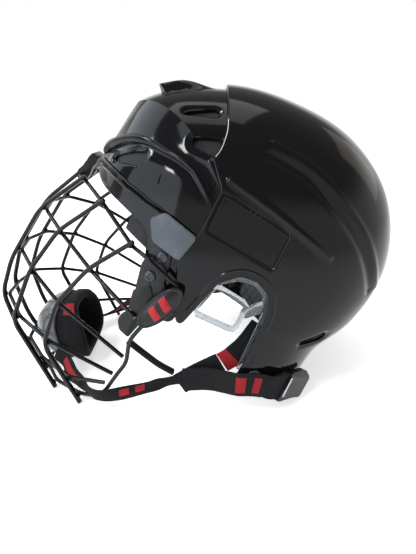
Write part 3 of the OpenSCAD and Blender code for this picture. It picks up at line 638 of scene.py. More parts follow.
def frontRelief(angle, tilt, lines):
    look = frontLook
    crest, arch, half, bead, start = lines
    base = domeAt(angle, tilt, dome["lap"])
    crestHigh, archHigh = lineAt(look["crestHeight"], tilt), lineAt(look["archHeight"], tilt)
    rise = np.clip((angle - start) / (crest - start), 0, 1)
    fall = np.clip((angle - crest) / (arch - half - crest), 0, 1)
    dip = look["dip"] * fall * (1 - fall) * np.clip((arch - crest) / 16, 0, 1)
    high = np.where(angle <= crest, crestHigh * rise ** 1.9, crestHigh * (1 - fall) - dip)
    high = high + np.sqrt(np.clip(1 - ((angle - arch) / half) ** 2, 0, 1)) * archHigh
    below = np.clip((angle - arch - half) / (bead - arch - half), 0, 1)
    under = np.where(angle > arch + half, 1 - smooth(below, 0.0, 0.30), 0)
    high = high - under * np.where(below < 1, archHigh * 0.45, 0)
    wide = smooth(np.abs(tilt), 12, 16) * (1 - smooth(np.abs(tilt), 27, 36))
    pocket = np.where(angle > arch + half, 1 - smooth(below, 0.30, 0.62), 0)
    high = high - look["pocket"] * wide * pocket
    fades = smooth(np.abs(tilt), 5, 14) * (1 - smooth(np.abs(tilt), 66, 72))
    section = np.interp(angle - bead, look["beadOffsets"], look["beadShares"], left=0, right=0)
    high = high + look["beadHeight"] * fades * section
    scoop = look["scoop"]
    back = np.clip((scoop["lip"] - rise) / (scoop["lip"] - 0.17), 0, 1)
    y = np.abs(base[..., 1])
    wing = scoop["half"] - scoop["narrowing"] * back
    top = scoop["high"] * (1 - smooth(back, 0.35, 1.0)) * (1 - smooth(y, wing - 1.5, wing + 6))
    high = high + np.where(rise <= scoop["lip"] + 0.001, top, 0)
    for vent, lip in zip(look["vents"], look["lips"]):
        high = high + slotDip(base, *vent, dome["lap"], lip, look["ventDip"])
    return np.maximum(high, look["deepest"]) * smooth(angle, 54, 70)


def makeFrontShell():
    a, t, lines = frontGrid()
    lap, high = dome["lap"], frontLook["scoop"]["high"]
    outline = [(-130, 180), (-130, 101)] + browRim + frontLeg + [(34, 96), (34, 180)]
    shell = makeShell("frontShell", a, t, frontRelief(a, t, lines), lap, outline, 3.5, frontLook["vents"])
    marks = [part for mark in frontLook["marks"] for part in ventTool(*mark, lap, 1.2, 0.1)]
    combine(shell, marks, "DIFFERENCE")
    ends = [(113, 2.8), (103.5, 3.8)]
    forward = [domeAt(angle, s, lap - high + deep) for angle, deep in ends for s in (-8, 8)]
    down = [domeAt(103.5, s, lap - deep) for s in (-7, 7) for deep in (high - 3.8, -8)]
    for centres in (forward, down):
        combine(shell, hullTool(centres, 1.8), "DIFFERENCE")
    finishShell(shell, "front", "front_shell")


makeFrontShell()

rearLook = {
    "panel": [(-4.8, 88.6), (41, 60.6), (29, 37), (-17, 64)],
    "creases": [  # line, height, half width
        ([(0, 96.5), (34, 72), (69, 44)], 1.3, 2.2),
        ([(26, 112), (50, 99), (68, 82), (88, 58), (100, 36), (108, 12)], -1.6, 4.0),
        ([(30, 118), (54, 105), (74, 86), (95, 60), (107, 37), (115, 12)], 0.9, 3.4)],
    "lip": [(-30, 8), (-9, 33.5), (7, 39), (22, 34), (31.5, 22.5), (32, 6), (15, -39)],
    "vent": ((57, -25), (71, -23), 2.5, 5), "lipOut": 4.0, "ventDip": 1.5,
    "panelDip": 0.6, "panelSlope": 4.0, "deepest": -1.75, "lineIn": 0.35, "grooveHalf": 1.05, "lipHalf": 1.1,
}


def rearRelief(angle, tilt):
    look, base = rearLook, domeAt(angle, tilt, 0)
    flat = onLeft(base)
    share = patch(base, look["panel"], look["panelSlope"], 2)
    high = -look["panelDip"] * share
    for line, rise, half in look["creases"]:
        away = distanceToLine(flat, onSide(spline(line, 6), 0))
        high = high + rise * np.exp(-(away / half) ** 2) * (1 - share)
    high = high + slotDip(base, *look["vent"], 0, look["lipOut"], look["ventDip"])
    return np.maximum(high, look["deepest"])


def makeRearShell():
    angles = np.concatenate([np.arange(-80, -12, 1.4), np.arange(-12, 112, 0.42 if fine else 0.9),
                             np.arange(112, 198, 0.8)])
    side = np.concatenate([np.linspace(0, 32, 28), np.linspace(32.4, 88, 150 if fine else 80)])
    a, t = np.meshgrid(angles, np.concatenate([-side[:0:-1], side]), indexing="ij")
    outline = seamLine + rearArm + earEdge + napeRim + [(150, -83), (190, -50), (190, 180)]
    shell = makeShell("rearShell", a, t, rearRelief(a, t), 0, outline, 3.0, [rearLook["vent"]])
    look = rearLook
    combine(shell, lineTool(look["panel"], look["lineIn"], look["grooveHalf"], True), "DIFFERENCE")
    combine(shell, lineTool(look["lip"], look["lineIn"], look["lipHalf"]), "UNION")
    finishShell(shell, "rear", "rear_shell")


makeRearShell()

cage = {
    "barWide": 5.0, "barThick": 3.4, "wire": 3.2, "hinge": (-120.3, 90.2), "run": 19.5,
    "bead": (2.5, 1.9, 0.75),  # a weld's half length, half width and half thickness
    "bars": [
        (0, [(-121, 94), (-156, 68), (-185, 26), (-196, -8), (-187, -42), (-166, -82)]),
        (33, [(-112, 91.7), (-151, 66), (-180, 24), (-192, -7), (-184, -40), (-163, -82)]),
        (63, [(-91.5, 78), (-128, 55), (-154, 23), (-173, -19), (-146, -82)]),
        (85, [(-68, 52), (-102, 32), (-128, 5), (-142, -30), (-119, -82)])],
    "wires": {  # heights of the crossings from the middle out, and the end beside the rim, in from its loop
        "cage_wire_eyes": ([69, 67, 54, 31], (-67, 3.4, 1.5)),
        "cage_wire_nose": ([34, 33, 22, 3], (-79, 12, -35)),
        "cage_wire_mouth": ([-9, -8, -17, -29], (-89, 16, -52)),
        "cage_wire_chin": ([-52, -52, -56, -62], (-97, 20.5, -63))},
    "rimTop": [92, 90.5, 76.5, 50], "rimLow": [-79, -79, -78, -77],
    "rimSide": [(-57, 3, 47), (-44, 0, 34.5), (-35.5, 0, 26), (-36.5, 0, 20.5), (-62, 1, -4), (-72, 4.5, -17),
                (-74.5, 8.5, -28), (-77, 12, -40), (-87, 15, -54), (-96, 17, -68), (-104, 18.5, -74)],
}
loopY = float(sideY(-36, 22, 0)) + cage["wire"] / 2 + 0.5
coarseBars, fineBars = ([rounded([(p[0], -y, p[1]) for p in line], 9, steps) for y, line in cage["bars"]]
                        for steps in (3, 8))
welds = {0: [], 1: [], 2: [], 3: []}


def crossing(path, z):
    for a, b in zip(path[:-1], path[1:]):
        if a[2] >= z > b[2]:
            return a + (b - a) * (a[2] - z) / (a[2] - b[2]), unit(b - a)
    raise ValueError("no crossing at this height")


def wireHalf(heights, ends):
    places = [crossing(coarseBars[i], heights[i]) for i in range(4)]
    q = [p for p, _ in places] + [np.array(e, float) for e in ends]
    out = []
    for i in range(4):
        before = mirrored(q[1]) if i == 0 else q[i - 1]
        go = unit(q[i + 1] - before)
        n = unit(np.cross(places[i][1], go))
        c = n if n[0] > 0 else -n
        bar = np.linalg.norm([cage["barThick"] / 2 * math.hypot(c[0], c[2]), cage["barWide"] / 2 * c[1]])
        out.append(q[i] + c * (bar + cage["wire"] / 2 + 0.08))
        welds[i].append((q[i] + c * (bar - 0.1), c, go))
    return out + q[4:]


def wholeWire(half):
    return [mirrored(p) for p in half[:0:-1]] + list(half)


def weldBead(place, c, go):
    # a small flat bead of weld in the corner between a bar and a wire
    rings, sides, (long, wide, thick) = 7, 12, cage["bead"]
    across = unit(np.cross(c, go))
    points = []
    for i in range(rings):
        u = math.pi * (i + 0.5) / rings
        for j in range(sides):
            v = 2 * math.pi * j / sides
            points.append(place + go * long * math.sin(u) * math.cos(v)
                          + across * wide * math.sin(u) * math.sin(v) + c * thick * math.cos(u))
    return solid(np.array(points), ringFaces(rings, sides))


def cagePiece(name, parts, node):
    settle(makePiece(name, joinParts(parts), coat, 50), "cage", node)


def makeCage():
    r = cage["wire"] / 2
    for node, (heights, end) in cage["wires"].items():
        path = rounded(wholeWire(wireHalf(heights, [(end[0], end[1] - loopY, end[2])])), 5, 6)
        name = "cageWire" + node.split("_")[-1].capitalize()
        cagePiece(name, [sweep(path, [0.05, 0.02, 1], r, r, 14)], node)
    side = [np.array([p[0], p[1] - loopY, p[2]]) for p in cage["rimSide"]]
    top = wireHalf(cage["rimTop"], side[:1])[1:4]
    top[2] = top[2] + [0.7, 0.5, 0]
    low = wireHalf(cage["rimLow"], [(-103, 18 - loopY, -72)])[:4]
    half = [np.array([cage["hinge"][0], -cage["run"], cage["hinge"][1]])] + top + side + low[::-1]
    ring = half + [mirrored(p) for p in half[-2::-1]]
    middle = (ring[0] + ring[-1]) / 2
    path = rounded([middle] + ring + [middle], 7, 6)[:-1]
    cagePiece("cageRim", [sweep(path, unit(np.array([-90, 0, 5]) - path), r, r, 14, closed=True)], "cage_rim")
    for i, name in enumerate(("BarCentre", "BarsInner", "BarsMiddle", "BarsOuter")):
        part = sweep(fineBars[i], [0, 1, 0], cage["barWide"] / 2, cage["barThick"] / 2, 20, 0.85)[:2]
        parts = [part] + [weldBead(*w) for w in welds[i] if w[0][2] < 88]
        parts += [flipped(p) for p in parts] if i else []
        cagePiece("cage" + name, parts, "cage_bar_centre" if i == 0 else "cage_bars_" + name[4:].lower())


makeCage()
print("cage made")

pads = {
    "thick": 13.0, "gap": 0.8, "round": 6.0, "groove": 2.2, "grooveHalf": 1.6,
    "front": {"brow_pad": [((117, 134), (-48, 48))], "front_crown_pad": [((82, 114), (-34, 34))],
              "front_side_pads": [((92, 114), (-66, -38)), ((92, 114), (38, 66)), ((117, 140), (-70, -51)),
                                  ((117, 140), (51, 70))]},
    "rear": {"rear_crown_pad": [((50, 72), (-34, 34))], "back_pad": [((6, 47), (-34, 34))],
             "rear_side_pads": [((4, 56), (-64, -38)), ((4, 56), (38, 64))],
             "nape_pad": [((-44, 2), (-52, 52))]},
}


def padPart(angles, tilts, inset, thick):
    # a moulded block: flat to the shell, crowned and grooved towards the head, with rounded borders
    sa, st = np.meshgrid(np.linspace(0, 1, 40), np.linspace(0, 1, 44), indexing="ij")
    long, wide = abs(angles[1] - angles[0]) * 2.4, abs(tilts[1] - tilts[0]) * 2.0
    edge = np.minimum(np.minimum(sa, 1 - sa) * long, np.minimum(st, 1 - st) * wide)
    crown = np.sqrt(np.clip(1 - (1 - np.clip(edge / pads["round"], 0, 1)) ** 2, 0, 1))
    grooves = np.exp(-(((sa - 0.5) * long) / pads["grooveHalf"]) ** 2)
    if wide > 100:
        grooves = np.maximum(grooves, np.exp(-(((st - 0.5) * wide) / pads["grooveHalf"]) ** 2))
    deep = thick * (0.55 + 0.45 * crown) - pads["groove"] * grooves
    return sheetBlock(angles[0] + (angles[1] - angles[0]) * sa, tilts[0] + (tilts[1] - tilts[0]) * st,
                      inset + 0 * sa, inset + deep)


def makePads():
    for body, inset in (("front", dome["inside"]), ("rear", dome["wall"])):
        for node, blocks in pads[body].items():
            parts = [padPart(a, t, inset + pads["gap"], pads["thick"]) for a, t in blocks]
            first, *rest = node.split("_")
            piece = makePiece(first + "".join(w.capitalize() for w in rest), joinParts(parts)[:2], liner, 60)
            settle(piece, body, node)


makePads()
print("pads made")

strap = {"wide": 19.0, "thick": 1.6, "tabY": 93.0, "out": 2.5, "layer": 2.1, "lining": 0.3, "hem": 0.9,
         "steps": 8, "sides": 24, "flat": 0.3}


def besideShell(x, z, more):
    # a point of the rear half, which hangs upright from its top edge beside the shell
    return [x, -float(sideY(x, z + strap["wide"] / 2, 0)) - strap["out"] - 0.6 - more, z]


def strapRun(path, wide, half):
    # the middle line of a band, the way it lies across and its half width, all along it
    steps = strap["steps"]
    halves = spline([[h, 0, 0] for h in half], steps)[:, 0]
    return spline(path, steps), spline([unit(w) for w in wide], steps), halves


def strapPart(path, wide, half, thick=strap["thick"]):
    return sweep(*strapRun(path, wide, half), thick / 2, strap["sides"], strap["flat"])


def liningPart(path, wide, half, side, start, end):
    # a thin red face woven on one side of a strap, from one point of its path to another
    run, across, halves = strapRun(path, wide, half)
    part = slice(int(start * strap["steps"]), int(end * strap["steps"]) + 1)
    run = run + sectionAxes(run, across)[1] * side * (strap["thick"] / 2 + strap["lining"] / 2)
    return sweep(run[part], across[part], halves[part] - strap["hem"], strap["lining"] / 2, strap["sides"],
                 strap["flat"])


def makeStraps(rearPath):
    w, lay, tabY, half = strap["wide"], strap["layer"], strap["tabY"], dome["width"] / 2
    chinPath = [(-12, -tabY - 1.3 * lay, -52), (-30, -tabY - 1.3 * lay, -53), (-46, -tabY - 1.3 * lay, -56),
                (-60, 10.5 - half, -60.3), (-74, 9.5 - half, -63.5), (-86, 9 - half, -66),
                (-96, 10 - half, -68), (-104, 13.5 - half, -69), (-111, 21 - half, -69.5), (-121, -72, -71),
                (-133, -57, -72), (-141, -42.5, -69), (-151, -36.2, -63)]
    chinWide = np.array([[0, 0, 0.6], [0, 0, 0.5], [0, 0.1, 0.34], [0, 0.6, 0.12], [0, 0.5, 0.26],
                         [0, 0.3, 0.42], [0, 0.1, 0.46], [0, 0.05, 0.42], [0, 0, 0.36], [0.3, 0.2, 0.3],
                         [0.4, 0.3, 0.35], [0.2, 0.2, 0.6], [0.1, 0, 0.8]])
    chinHalf = np.linalg.norm(chinWide, axis=1) * w / 2
    earPath = [(25, -88, -12), (14, -90, -27), (4, -92, -36), (-4, -tabY, -41)]
    tabPath = [(-5, -tabY, -41.5), (-22, -tabY, -50.5), (-37, -tabY, -60)]
    frontPath = rounded([(-75.5, -90.6, -23.5), (-66, -92.5, -31), (-59, -tabY, -37), (-52, -tabY, -43),
                         (-42, 1.7 - tabY, -50.3)], 6, 5)
    upright, n = [[0, 0, -1]] * len(rearPath), len(rearPath)
    makePair("rearStrap", "rear_strap", strapPart(rearPath, upright, [w / 2 + 0.25] * n), blackWeb, "rear")
    makePair("chinStrap", "chin_strap", strapPart(chinPath, chinWide, chinHalf), blackWeb, "cage")
    linings = [  # name, narrower by, which side, first and last point, on which straps
        ("Lining", 2.4, -1, 9, 11.2, bothSides), ("Inside", 0, 1, 0, 9, bothSides),
        ("Twist", 0, -1, 3.2, 9, ("Right",)), ("Bar1", 1.6, -1, 3.3, 3.85, ("Left",)),
        ("Bar2", 1.6, -1, 4.2, 4.75, ("Left",))]
    for name, narrower, side, start, end, sides in linings:
        part = liningPart(chinPath, chinWide, chinHalf - narrower, side, start, end)
        makePair("chinStrap" + name, None, part, redWeb, "cage", sides=sides)
    for name, start, end in (("rearStrapBar1", 2.4, 3.6), ("rearStrapBar2", 4.4, 5.2)):
        makePair(name, None, liningPart(rearPath, upright, [w / 2 - 2.0] * n, 1, start, end), redWeb, "rear")
    along = [(-0.5, 0, 0.8)] * 4
    makePair("earStrap", "ear_strap", strapPart(earPath, along, [w / 2 - 1] * 4), redWeb, "rear")
    sleeve = strapPart(earPath[:3], along[:3], [w / 2 - 0.9] * 3, strap["thick"] + 0.3)
    makePair("earStrapSleeve", None, sleeve, blackWeb, "rear")
    tab = strapPart(tabPath, [(-0.5, 0, 0.86)] * 3, [w / 2 - 0.5] * 3, 2)
    makePair("strapTab", "strap_tab", tab, blackWeb, "rear")
    makePair("frontStrap", "front_strap", sweep(frontPath, [0, 1, 0], 3, 2, 16, 0.7), blackWeb, "front")


rearPath = [besideShell(60, -66, 3.4), besideShell(37, -58.5, 2.9), besideShell(27, -55.5, 0.8),
            besideShell(21, -54, 0), besideShell(16, -53, 0), besideShell(7, -52.3, 0),
            [-4, 5 - dome["width"] / 2, -52], [-16, -strap["tabY"] - 2.6 * strap["layer"], -52],
            [-34, -strap["tabY"] - 2.4 * strap["layer"], -53]]
makeStraps(rearPath)
print("straps made")

cup = {"at": (-133, 0, -51), "wide": 76.0, "high": 60.0, "deep": 42.0, "wall": 1.8, "rake": 0.17,
       "sweep": 6.0, "edge": 73.0, "pad": 7.0, "boxy": 2 / 2.8, "gap": 4.2, "seams": [52, 128, 232, 308],
       "ringSeam": 80}


def bowlSkin(u, v, wide, high, deep):
    boxy = lambda s: np.sign(s) * np.abs(s) ** cup["boxy"]
    k = np.sin(u) ** 0.8
    z = high / 2 * k * boxy(np.sin(v))
    x = cup["sweep"] * (np.cos(v) * np.sin(u)) ** 2 - deep * np.cos(u) ** (1 - 0.5 * np.cos(v) ** 2) \
        - cup["rake"] * np.sin(u) * z
    return np.stack([x, wide / 2 * k * boxy(np.cos(v)), z], -1)


def bowlPart(narrower, deep, thick, last, crown, seams=()):
    # an outer and an inner skin joined by a rounded rim; the outer one can carry sewn seams
    steps, sides, roll = 36, 128, 5
    wide, high = cup["wide"] - narrower, cup["high"] - narrower
    u = np.radians(8 + (last - 8) * np.linspace(0, 1, steps))
    v = 2 * math.pi * (np.arange(sides) + 0.5) / sides
    uu, vv = np.meshgrid(u, v, indexing="ij")
    outer = bowlSkin(uu, vv, wide, high, deep)
    inner = bowlSkin(uu, vv, wide - 2 * thick, high - 2 * thick, deep - thick)
    inwards = unit(inner - outer)
    gaps = [np.abs((vv - math.radians(at) + math.pi) % (2 * math.pi) - math.pi) for at in seams]
    for gap in gaps + ([np.abs(uu - math.radians(cup["ringSeam"]))] if gaps else []):
        outer = outer + inwards * (0.9 * np.exp(-(gap * wide / 2 / 0.9) ** 2))[..., None]
    middle, half, go = (outer[-1] + inner[-1]) / 2, (outer[-1] - inner[-1]) / 2, unit(outer[-1] - outer[-2])
    turns = [math.pi * i / roll for i in range(1, roll)]
    rim = [middle + half * math.cos(s) + go * crown * math.sin(s) for s in turns]
    rings = [*outer, *rim, *inner[::-1]]
    return solid(np.vstack(rings) + np.array(cup["at"]), ringFaces(len(rings), sides))


def cupPatch():
    # red webbing sewn on the cup pad's side, where the strap comes out
    u, v = np.radians(np.meshgrid(np.linspace(81, 90, 12), np.linspace(112, 140, 22), indexing="ij"))
    skins = [bowlSkin(u, v, cup["wide"] - cup["gap"] + out, cup["high"] - cup["gap"] + out,
                      cup["deep"] - 2.3 + out / 2) for out in (1.3, -0.6)]
    points = np.vstack([skin.reshape(-1, 3) + np.array(cup["at"]) for skin in skins])
    return solid(points, blockFaces(*u.shape))


def makeCup():
    shell = bowlPart(0, cup["deep"], cup["wall"], cup["edge"], 0.5)
    settle(makePiece("chinCupShell", shell, cupPlastic, 60), "cage", "chin_cup_shell")
    pad = bowlPart(cup["gap"], cup["deep"] - cup["wall"] - 0.5, cup["pad"], 90, 2.2, cup["seams"])
    piece = makePiece("chinCupPad", pad, cupFabric, 60)
    settle(piece, "cage", "chin_cup_pad")
    makePair("cupWebbing", None, cupPatch(), redWeb, "cage", 40)


makeCup()
print("chin cup made")


def turned(points, degreesX, degreesZ, by):
    # first about X, then about Z, then moved
    x, z = math.radians(degreesX), math.radians(degreesZ)
    turnX = np.array([[1, 0, 0], [0, math.cos(x), -math.sin(x)], [0, math.sin(x), math.cos(x)]])
    turnZ = np.array([[math.cos(z), -math.sin(z), 0], [math.sin(z), math.cos(z), 0], [0, 0, 1]])
    return points @ turnX.T @ turnZ.T + np.array(by)


def leant(outline, degrees, at):
    # an outline of [x, z] turned by an angle and moved
    c, s = math.cos(math.radians(degrees)), math.sin(math.radians(degrees))
    return [(x * c - z * s + at[0], x * s + z * c + at[1]) for x, z in outline]


def oblong(a, b):
    return [(-a, -b), (a, -b), (a, b), (-a, b)]


def placed(way, *parts):
    return [(way(points), faces) for points, faces in parts]


def plate(outline, low, thick, radius=1.5):
    # a flat plate whose outline is [x, z], from low to low + thick along -y
    return prism(roundedLoop(outline, radius, 4), -low - thick, -low)


def lathe(profile, at=(0, 0), sides=48):
    # a closed turned form about y at [x, z]: profile is [radius, depth along -y], from one end to the other
    turns = [2 * math.pi * j / sides for j in range(sides)]
    points = [(r * math.cos(v) + at[0], -d, r * math.sin(v) + at[1]) for r, d in profile for v in turns]
    return solid(np.array(points), ringFaces(len(profile), sides))


def crossCut(size, low, at=(0, 0), wide=1.2):
    # a cross for a driver, as two bars
    bars = ((size, wide / 2), (wide / 2, size))
    return [prism(leant(oblong(a, b), 0, at), -low - 3, -low) for a, b in bars]


def fitting(name, parts, cuts, material, bevel=0, flip=False, within=()):
    # parts joined, cuts taken out, cut down to what is within, edges softened
    def made(part):
        return makePiece(name, solid(mirrored(part[0]) if flip else part[0], part[1]), material, 30)
    piece = made(parts[0])
    for group, operation in ((parts[1:], "UNION"), (cuts, "DIFFERENCE"), (within, "INTERSECT")):
        for part in group:
            combine(piece, made(part), operation)
    if bevel:
        soften = piece.modifiers.new("soften", "BEVEL")
        soften.width, soften.segments, soften.limit_method = bevel * mm, 3, "ANGLE"
        soften.angle_limit, soften.use_clamp_overlap = math.radians(35), True
        applyModifiers(piece)
    shade(piece.data, 30)
    return piece


def fittingPair(name, node, parts, cuts, material, body, bevel=0, within=()):
    for side in bothSides:
        settle(fitting(name + side, parts, cuts, material, bevel, side == "Right", within), body,
               sideNode(node, side))


clip = {
    "at": (-50, 28), "tip": 6, "turn": 11, "gap": 0.4, "plate": 2.0, "head": 8.0, "shank": 4.0, "high": 1.5,
    "screws": [(4, 17), (-5, 3)],
    "upper": [(-16, -6), (-11, 12), (-4, 23), (5, 26), (11, 22), (9, 12), (5, -1), (8, -14), (11, -22),
              (6, -27), (-1, -24), (-5, -19)],
    "lower": [(-17, -7), (-5, -3), (-2, -14), (-6, -21), (-14, -29), (-21, -20)],
    "cover": {
        "at": (-48, 12), "lean": 42, "long": 41, "wide": 17, "post": (-43.5, 6.5), "postHalf": 1.5,
        "rings": [(0.94, 0), (0.985, 0.25), (1, 0.7), (1, 1.7), (0.99, 2.2), (0.965, 2.65), (0.93, 2.85),
                  (0.895, 2.8), (0.865, 2.55), (0.84, 2.5), (0.81, 2.7), (0.74, 3.1), (0.6, 3.75),
                  (0.42, 4.3), (0.22, 4.65), (0.06, 4.78)],  # share of the half widths, depth
        "bar": [(-4.2, -5), (1.6, -5), (4.2, 5), (-1.6, 5)], "barsAt": (-5.0, 5.0), "barDepth": (-7, -3),
        "barRise": 0.3},
    "tongue": [(-5, 0), (-11, -1.5), (-15, -7), (-15, -16), (-9, -24), (-6, -20), (1, -11), (4, -1), (0, 2)],
}
legBase = onSide([clip["at"]], dome["lap"])[0]


def onLeg(points):
    return turned(points, -clip["tip"], -clip["turn"], legBase)


def legPlaneY(x, z, high):
    turn, tip = math.radians(clip["turn"]), math.radians(clip["tip"])
    n = (-math.sin(turn) * math.cos(tip), -math.cos(turn) * math.cos(tip), math.sin(tip))
    return -legBase[1] - (high - n[0] * (x - clip["at"][0]) - n[2] * (z - clip["at"][1])) / n[1]


def makeBrackets(gap, thick, high):
    # the side clips' brackets and their screws
    r, s = clip["head"] / 2, clip["shank"] / 2
    holes = [lathe([(s + 0.05, -2), (s + 0.05, 8)], at) for at in clip["screws"]]
    plates = placed(onLeg, plate(clip["upper"], gap, thick), plate(clip["lower"], gap, thick + 1.2))
    fittingPair("clipBracket", "clip_bracket", plates, placed(onLeg, *holes), satin, "front", 0.45)
    profile = [(s * 0.8, 0.2), (s, 0.5), (s, gap + thick), (r - 0.2, gap + thick), (r, gap + thick + 0.25),
               (r, gap + thick + 0.7), (r * 0.9, high - 0.35), (r * 0.66, high - 0.08), (r * 0.3, high)]
    for side in bothSides:
        screws = [fitting("clipScrews" + side, placed(onLeg, lathe(profile, at)),
                          placed(onLeg, *crossCut(2.4, high - 0.9, at)), screwSteel, 0, side == "Right")
                  for at in clip["screws"]]
        with bpy.context.temp_override(active_object=screws[0], selected_editable_objects=screws):
            bpy.ops.object.join()
        settle(screws[0], "front", sideNode("clip_screws", side))


def makeCovers(foot):
    # the oval covers with two bars let into each face, on their posts
    cover, sides = clip["cover"], 72
    outY = loopY + cage["wire"] / 2 + 0.4
    turns = [2 * math.pi * j / sides for j in range(sides)]
    points = []
    for k, d in cover["rings"]:
        oval = [(cover["long"] / 2 * k * math.cos(v), cover["wide"] / 2 * k * math.sin(v)) for v in turns]
        points += [(x, -outY - d, z) for x, z in leant(oval, cover["lean"], cover["at"])]
    points, faces = np.array(points), ringFaces(len(cover["rings"]), sides)
    bars = []
    for middle in cover["barsAt"]:
        bar = leant([(middle + x, z) for x, z in cover["bar"]], cover["lean"], cover["at"])
        bars.append(prism(bar, *(depth - outY for depth in cover["barDepth"])))
    for side in bothSides:
        right = side == "Right"
        raised = (points - [0, cover["barRise"], 0], faces)
        inlay = fitting("coverBars" + side, [raised], [], redInlay, 0, right)
        combine(inlay, [flipped(bar) if right else bar for bar in bars], "INTERSECT")
        settle(inlay, "front")
    post = lathe([(cover["postHalf"], depth) for depth in (foot, outY + 0.5)], cover["post"], 24)
    fittingPair("clipCover", "clip_cover", [(points, faces), post], [], coverGloss, "front")


def makeClips():
    gap, thick = clip["gap"], clip["plate"]
    makeBrackets(gap, thick, gap + thick + clip["high"])
    makeCovers(legPlaneY(*clip["cover"]["post"], gap + thick + 0.2))
    tongueBase = (-66, -legPlaneY(-66, 3, gap - 0.3), 3)
    tongue = placed(lambda points: turned(points, 14, 0, tongueBase), plate(clip["tongue"], -3.5, 3.5, 2.5))
    fittingPair("clipTongue", "clip_tongue", tongue, [], tongueSatin, "front", 1.0)


makeClips()

browClip = {
    "side": [(-110, 108), (-105.2, 104.6), (-107.6, 99), (-111, 96), (-113.5, 90), (-117, 86), (-122, 86.5),
             (-124.5, 90), (-123, 94.5), (-119, 97.5)],
    "middle": [(-130, 70), (-130, 110), (-118, 103), (-115.5, 96.5), (-111, 93), (-111, 70)],
    "wide": 25.0, "prong": 6.5, "face": (-114.5, 102.75), "lean": -49.4,
}


def onBrowFace(points):
    # local -y is out of the face; the face leans about y
    lean = math.radians(browClip["lean"])
    x, y, z = points[:, 0], points[:, 2], -points[:, 1]
    return np.stack([x * math.cos(lean) + z * math.sin(lean) + browClip["face"][0], y,
                     -x * math.sin(lean) + z * math.cos(lean) + browClip["face"][1]], -1)


def makeBrowClip():
    half, prong, wire, hinge = browClip["wide"] / 2, browClip["prong"], cage["wire"] / 2, cage["hinge"]
    barrel, bore = (lathe([(wire + more, -end), (wire + more, end)], hinge, 40)
                    for more, end in ((2.5, half), (0.08, 2 * half)))
    body = prism(roundedLoop(browClip["side"], 1.4, 4), -half, half)
    middle = prism(browClip["middle"], prong - half, half - prong)
    hole = placed(onBrowFace, lathe([(1.55, -8), (1.55, 12)], sides=32))
    settle(fitting("browClip", [body, barrel], [middle, bore] + hole, satin, 0.5), "front", "brow_clip")
    profile = [(1.2, -7), (1.5, -6.6), (1.5, 0.02), (3.3, 0.02), (3.5, 0.3), (3.5, 0.9), (3.1, 1.5),
               (2.2, 1.76), (0.8, 1.82)]
    screw, cross = placed(onBrowFace, lathe(profile)), placed(onBrowFace, *crossCut(2.0, 1.0, wide=1.0))
    settle(fitting("browClipScrew", screw, cross, screwSteel), "front", "brow_clip_screw")


makeBrowClip()

temple = {"outline": [(-54, 72), (-43, 76), (-22, 60), (-35, 44), (-53, 57)], "high": 2.0, "low": 0.4,
          "soft": 1.1}


def makeTemplePanels():
    a, t = np.meshgrid(np.linspace(92, 142, 130), np.linspace(-85, -50, 110), indexing="ij")
    low, high, soft = temple["low"], temple["low"] + temple["high"], temple["soft"]
    loop = sideLoop(temple["outline"], 3, 0)
    away = distanceToLine(domeAt(a, t, -high), onSide(loop[::2], -high), True)
    drop = soft - np.sqrt(np.clip(soft ** 2 - np.clip(soft - away, 0, soft) ** 2, 0, None))
    crown = 0.35 * (smooth(away, 0, 9) - 1)
    sheet = sheetBlock(a, t, drop - crown - high, 0 * a - low)
    fittingPair("templePanel", "temple_panel", [sheet], [], templeSatin, "front", 0, [prism(loop, -120, -60)])


makeTemplePanels()

buckle = {"outline": [(-16, -11.5), (-3, 10.6), (15.5, 10.6), (24, 2.5), (14, -13), (4, -11.5)], "wall": 1.4,
          "gap": 0.4, "share": 0.55, "lean": 61, "bar": (9, 1), "barAt": (-8, 0)}


def onStrap(i, j, share):
    # axes on the rear strap: x along it from point i to j, z up across it, -y out of it
    a, b = np.array(rearPath[i], float), np.array(rearPath[j], float)
    go = unit(b - a)
    out = unit(np.cross(go, [0, 0, 1]))
    up = np.cross(out, go)
    return lambda p: a * (1 - share) + b * share + p[:, :1] * go + p[:, 2:] * up - p[:, 1:2] * out


def makeBuckles():
    half, place = strap["thick"] / 2, onStrap(1, 0, buckle["share"])
    slotHalf, slotThick = strap["wide"] / 2 + 0.5, half + buckle["gap"]
    face = slotThick + buckle["wall"]
    slot = prism([(-20, -slotHalf), (16, -slotHalf), (16, slotHalf), (-20, slotHalf)], -slotThick, slotThick)
    bar = leant(oblong(*buckle["bar"]), buckle["lean"], buckle["barAt"])
    cap = plate([(x * 0.9 - 0.8, z * 0.9) for x, z in bar], face + 0.9, 0.55, 0.5)
    body = placed(place, plate(buckle["outline"], -face, 2 * face, 3.0), plate(bar, face - 0.2, 1.4, 0.6))
    fittingPair("strapBuckle", "strap_buckle", body, placed(place, slot), buckleSatin, "rear", 0.55)
    fittingPair("buckleBar", None, placed(place, cap), [], barSteel, "rear", 0.2)
    low = -half - 0.15 - 1.6
    anchor = lathe([(4.2, low), (4.8, low + 0.15), (5, low + 0.5), (5, low + 1.1), (4.7, low + 1.45),
                    (4.2, low + 1.6), (3.0, low + 1.6)], (0, 6.5))
    fittingPair("strapAnchor", "strap_anchor", placed(onStrap(4, 3, 0.5), anchor), [], screwSteel, "rear")


makeBuckles()

guard = {
    "y": 96.0, "thick": 2.0, "rim": 4.0,
    "loop": [(-23, 4), (-9, 21), (11, 8), (3, -9)],
    "strip": [(-5, 36), (8, 42), (27, 36), (34, 22), (34, 6), (15, -44), (6, -44), (25, 3), (24, 16),
              (18, 24), (6, 27), (-7, 24)],
    "bridge": [(8, 4), (24, 12), (26, 3), (12, -2)],
    "rivets": [(4, 38), (29, 28), (26, -10)],
}


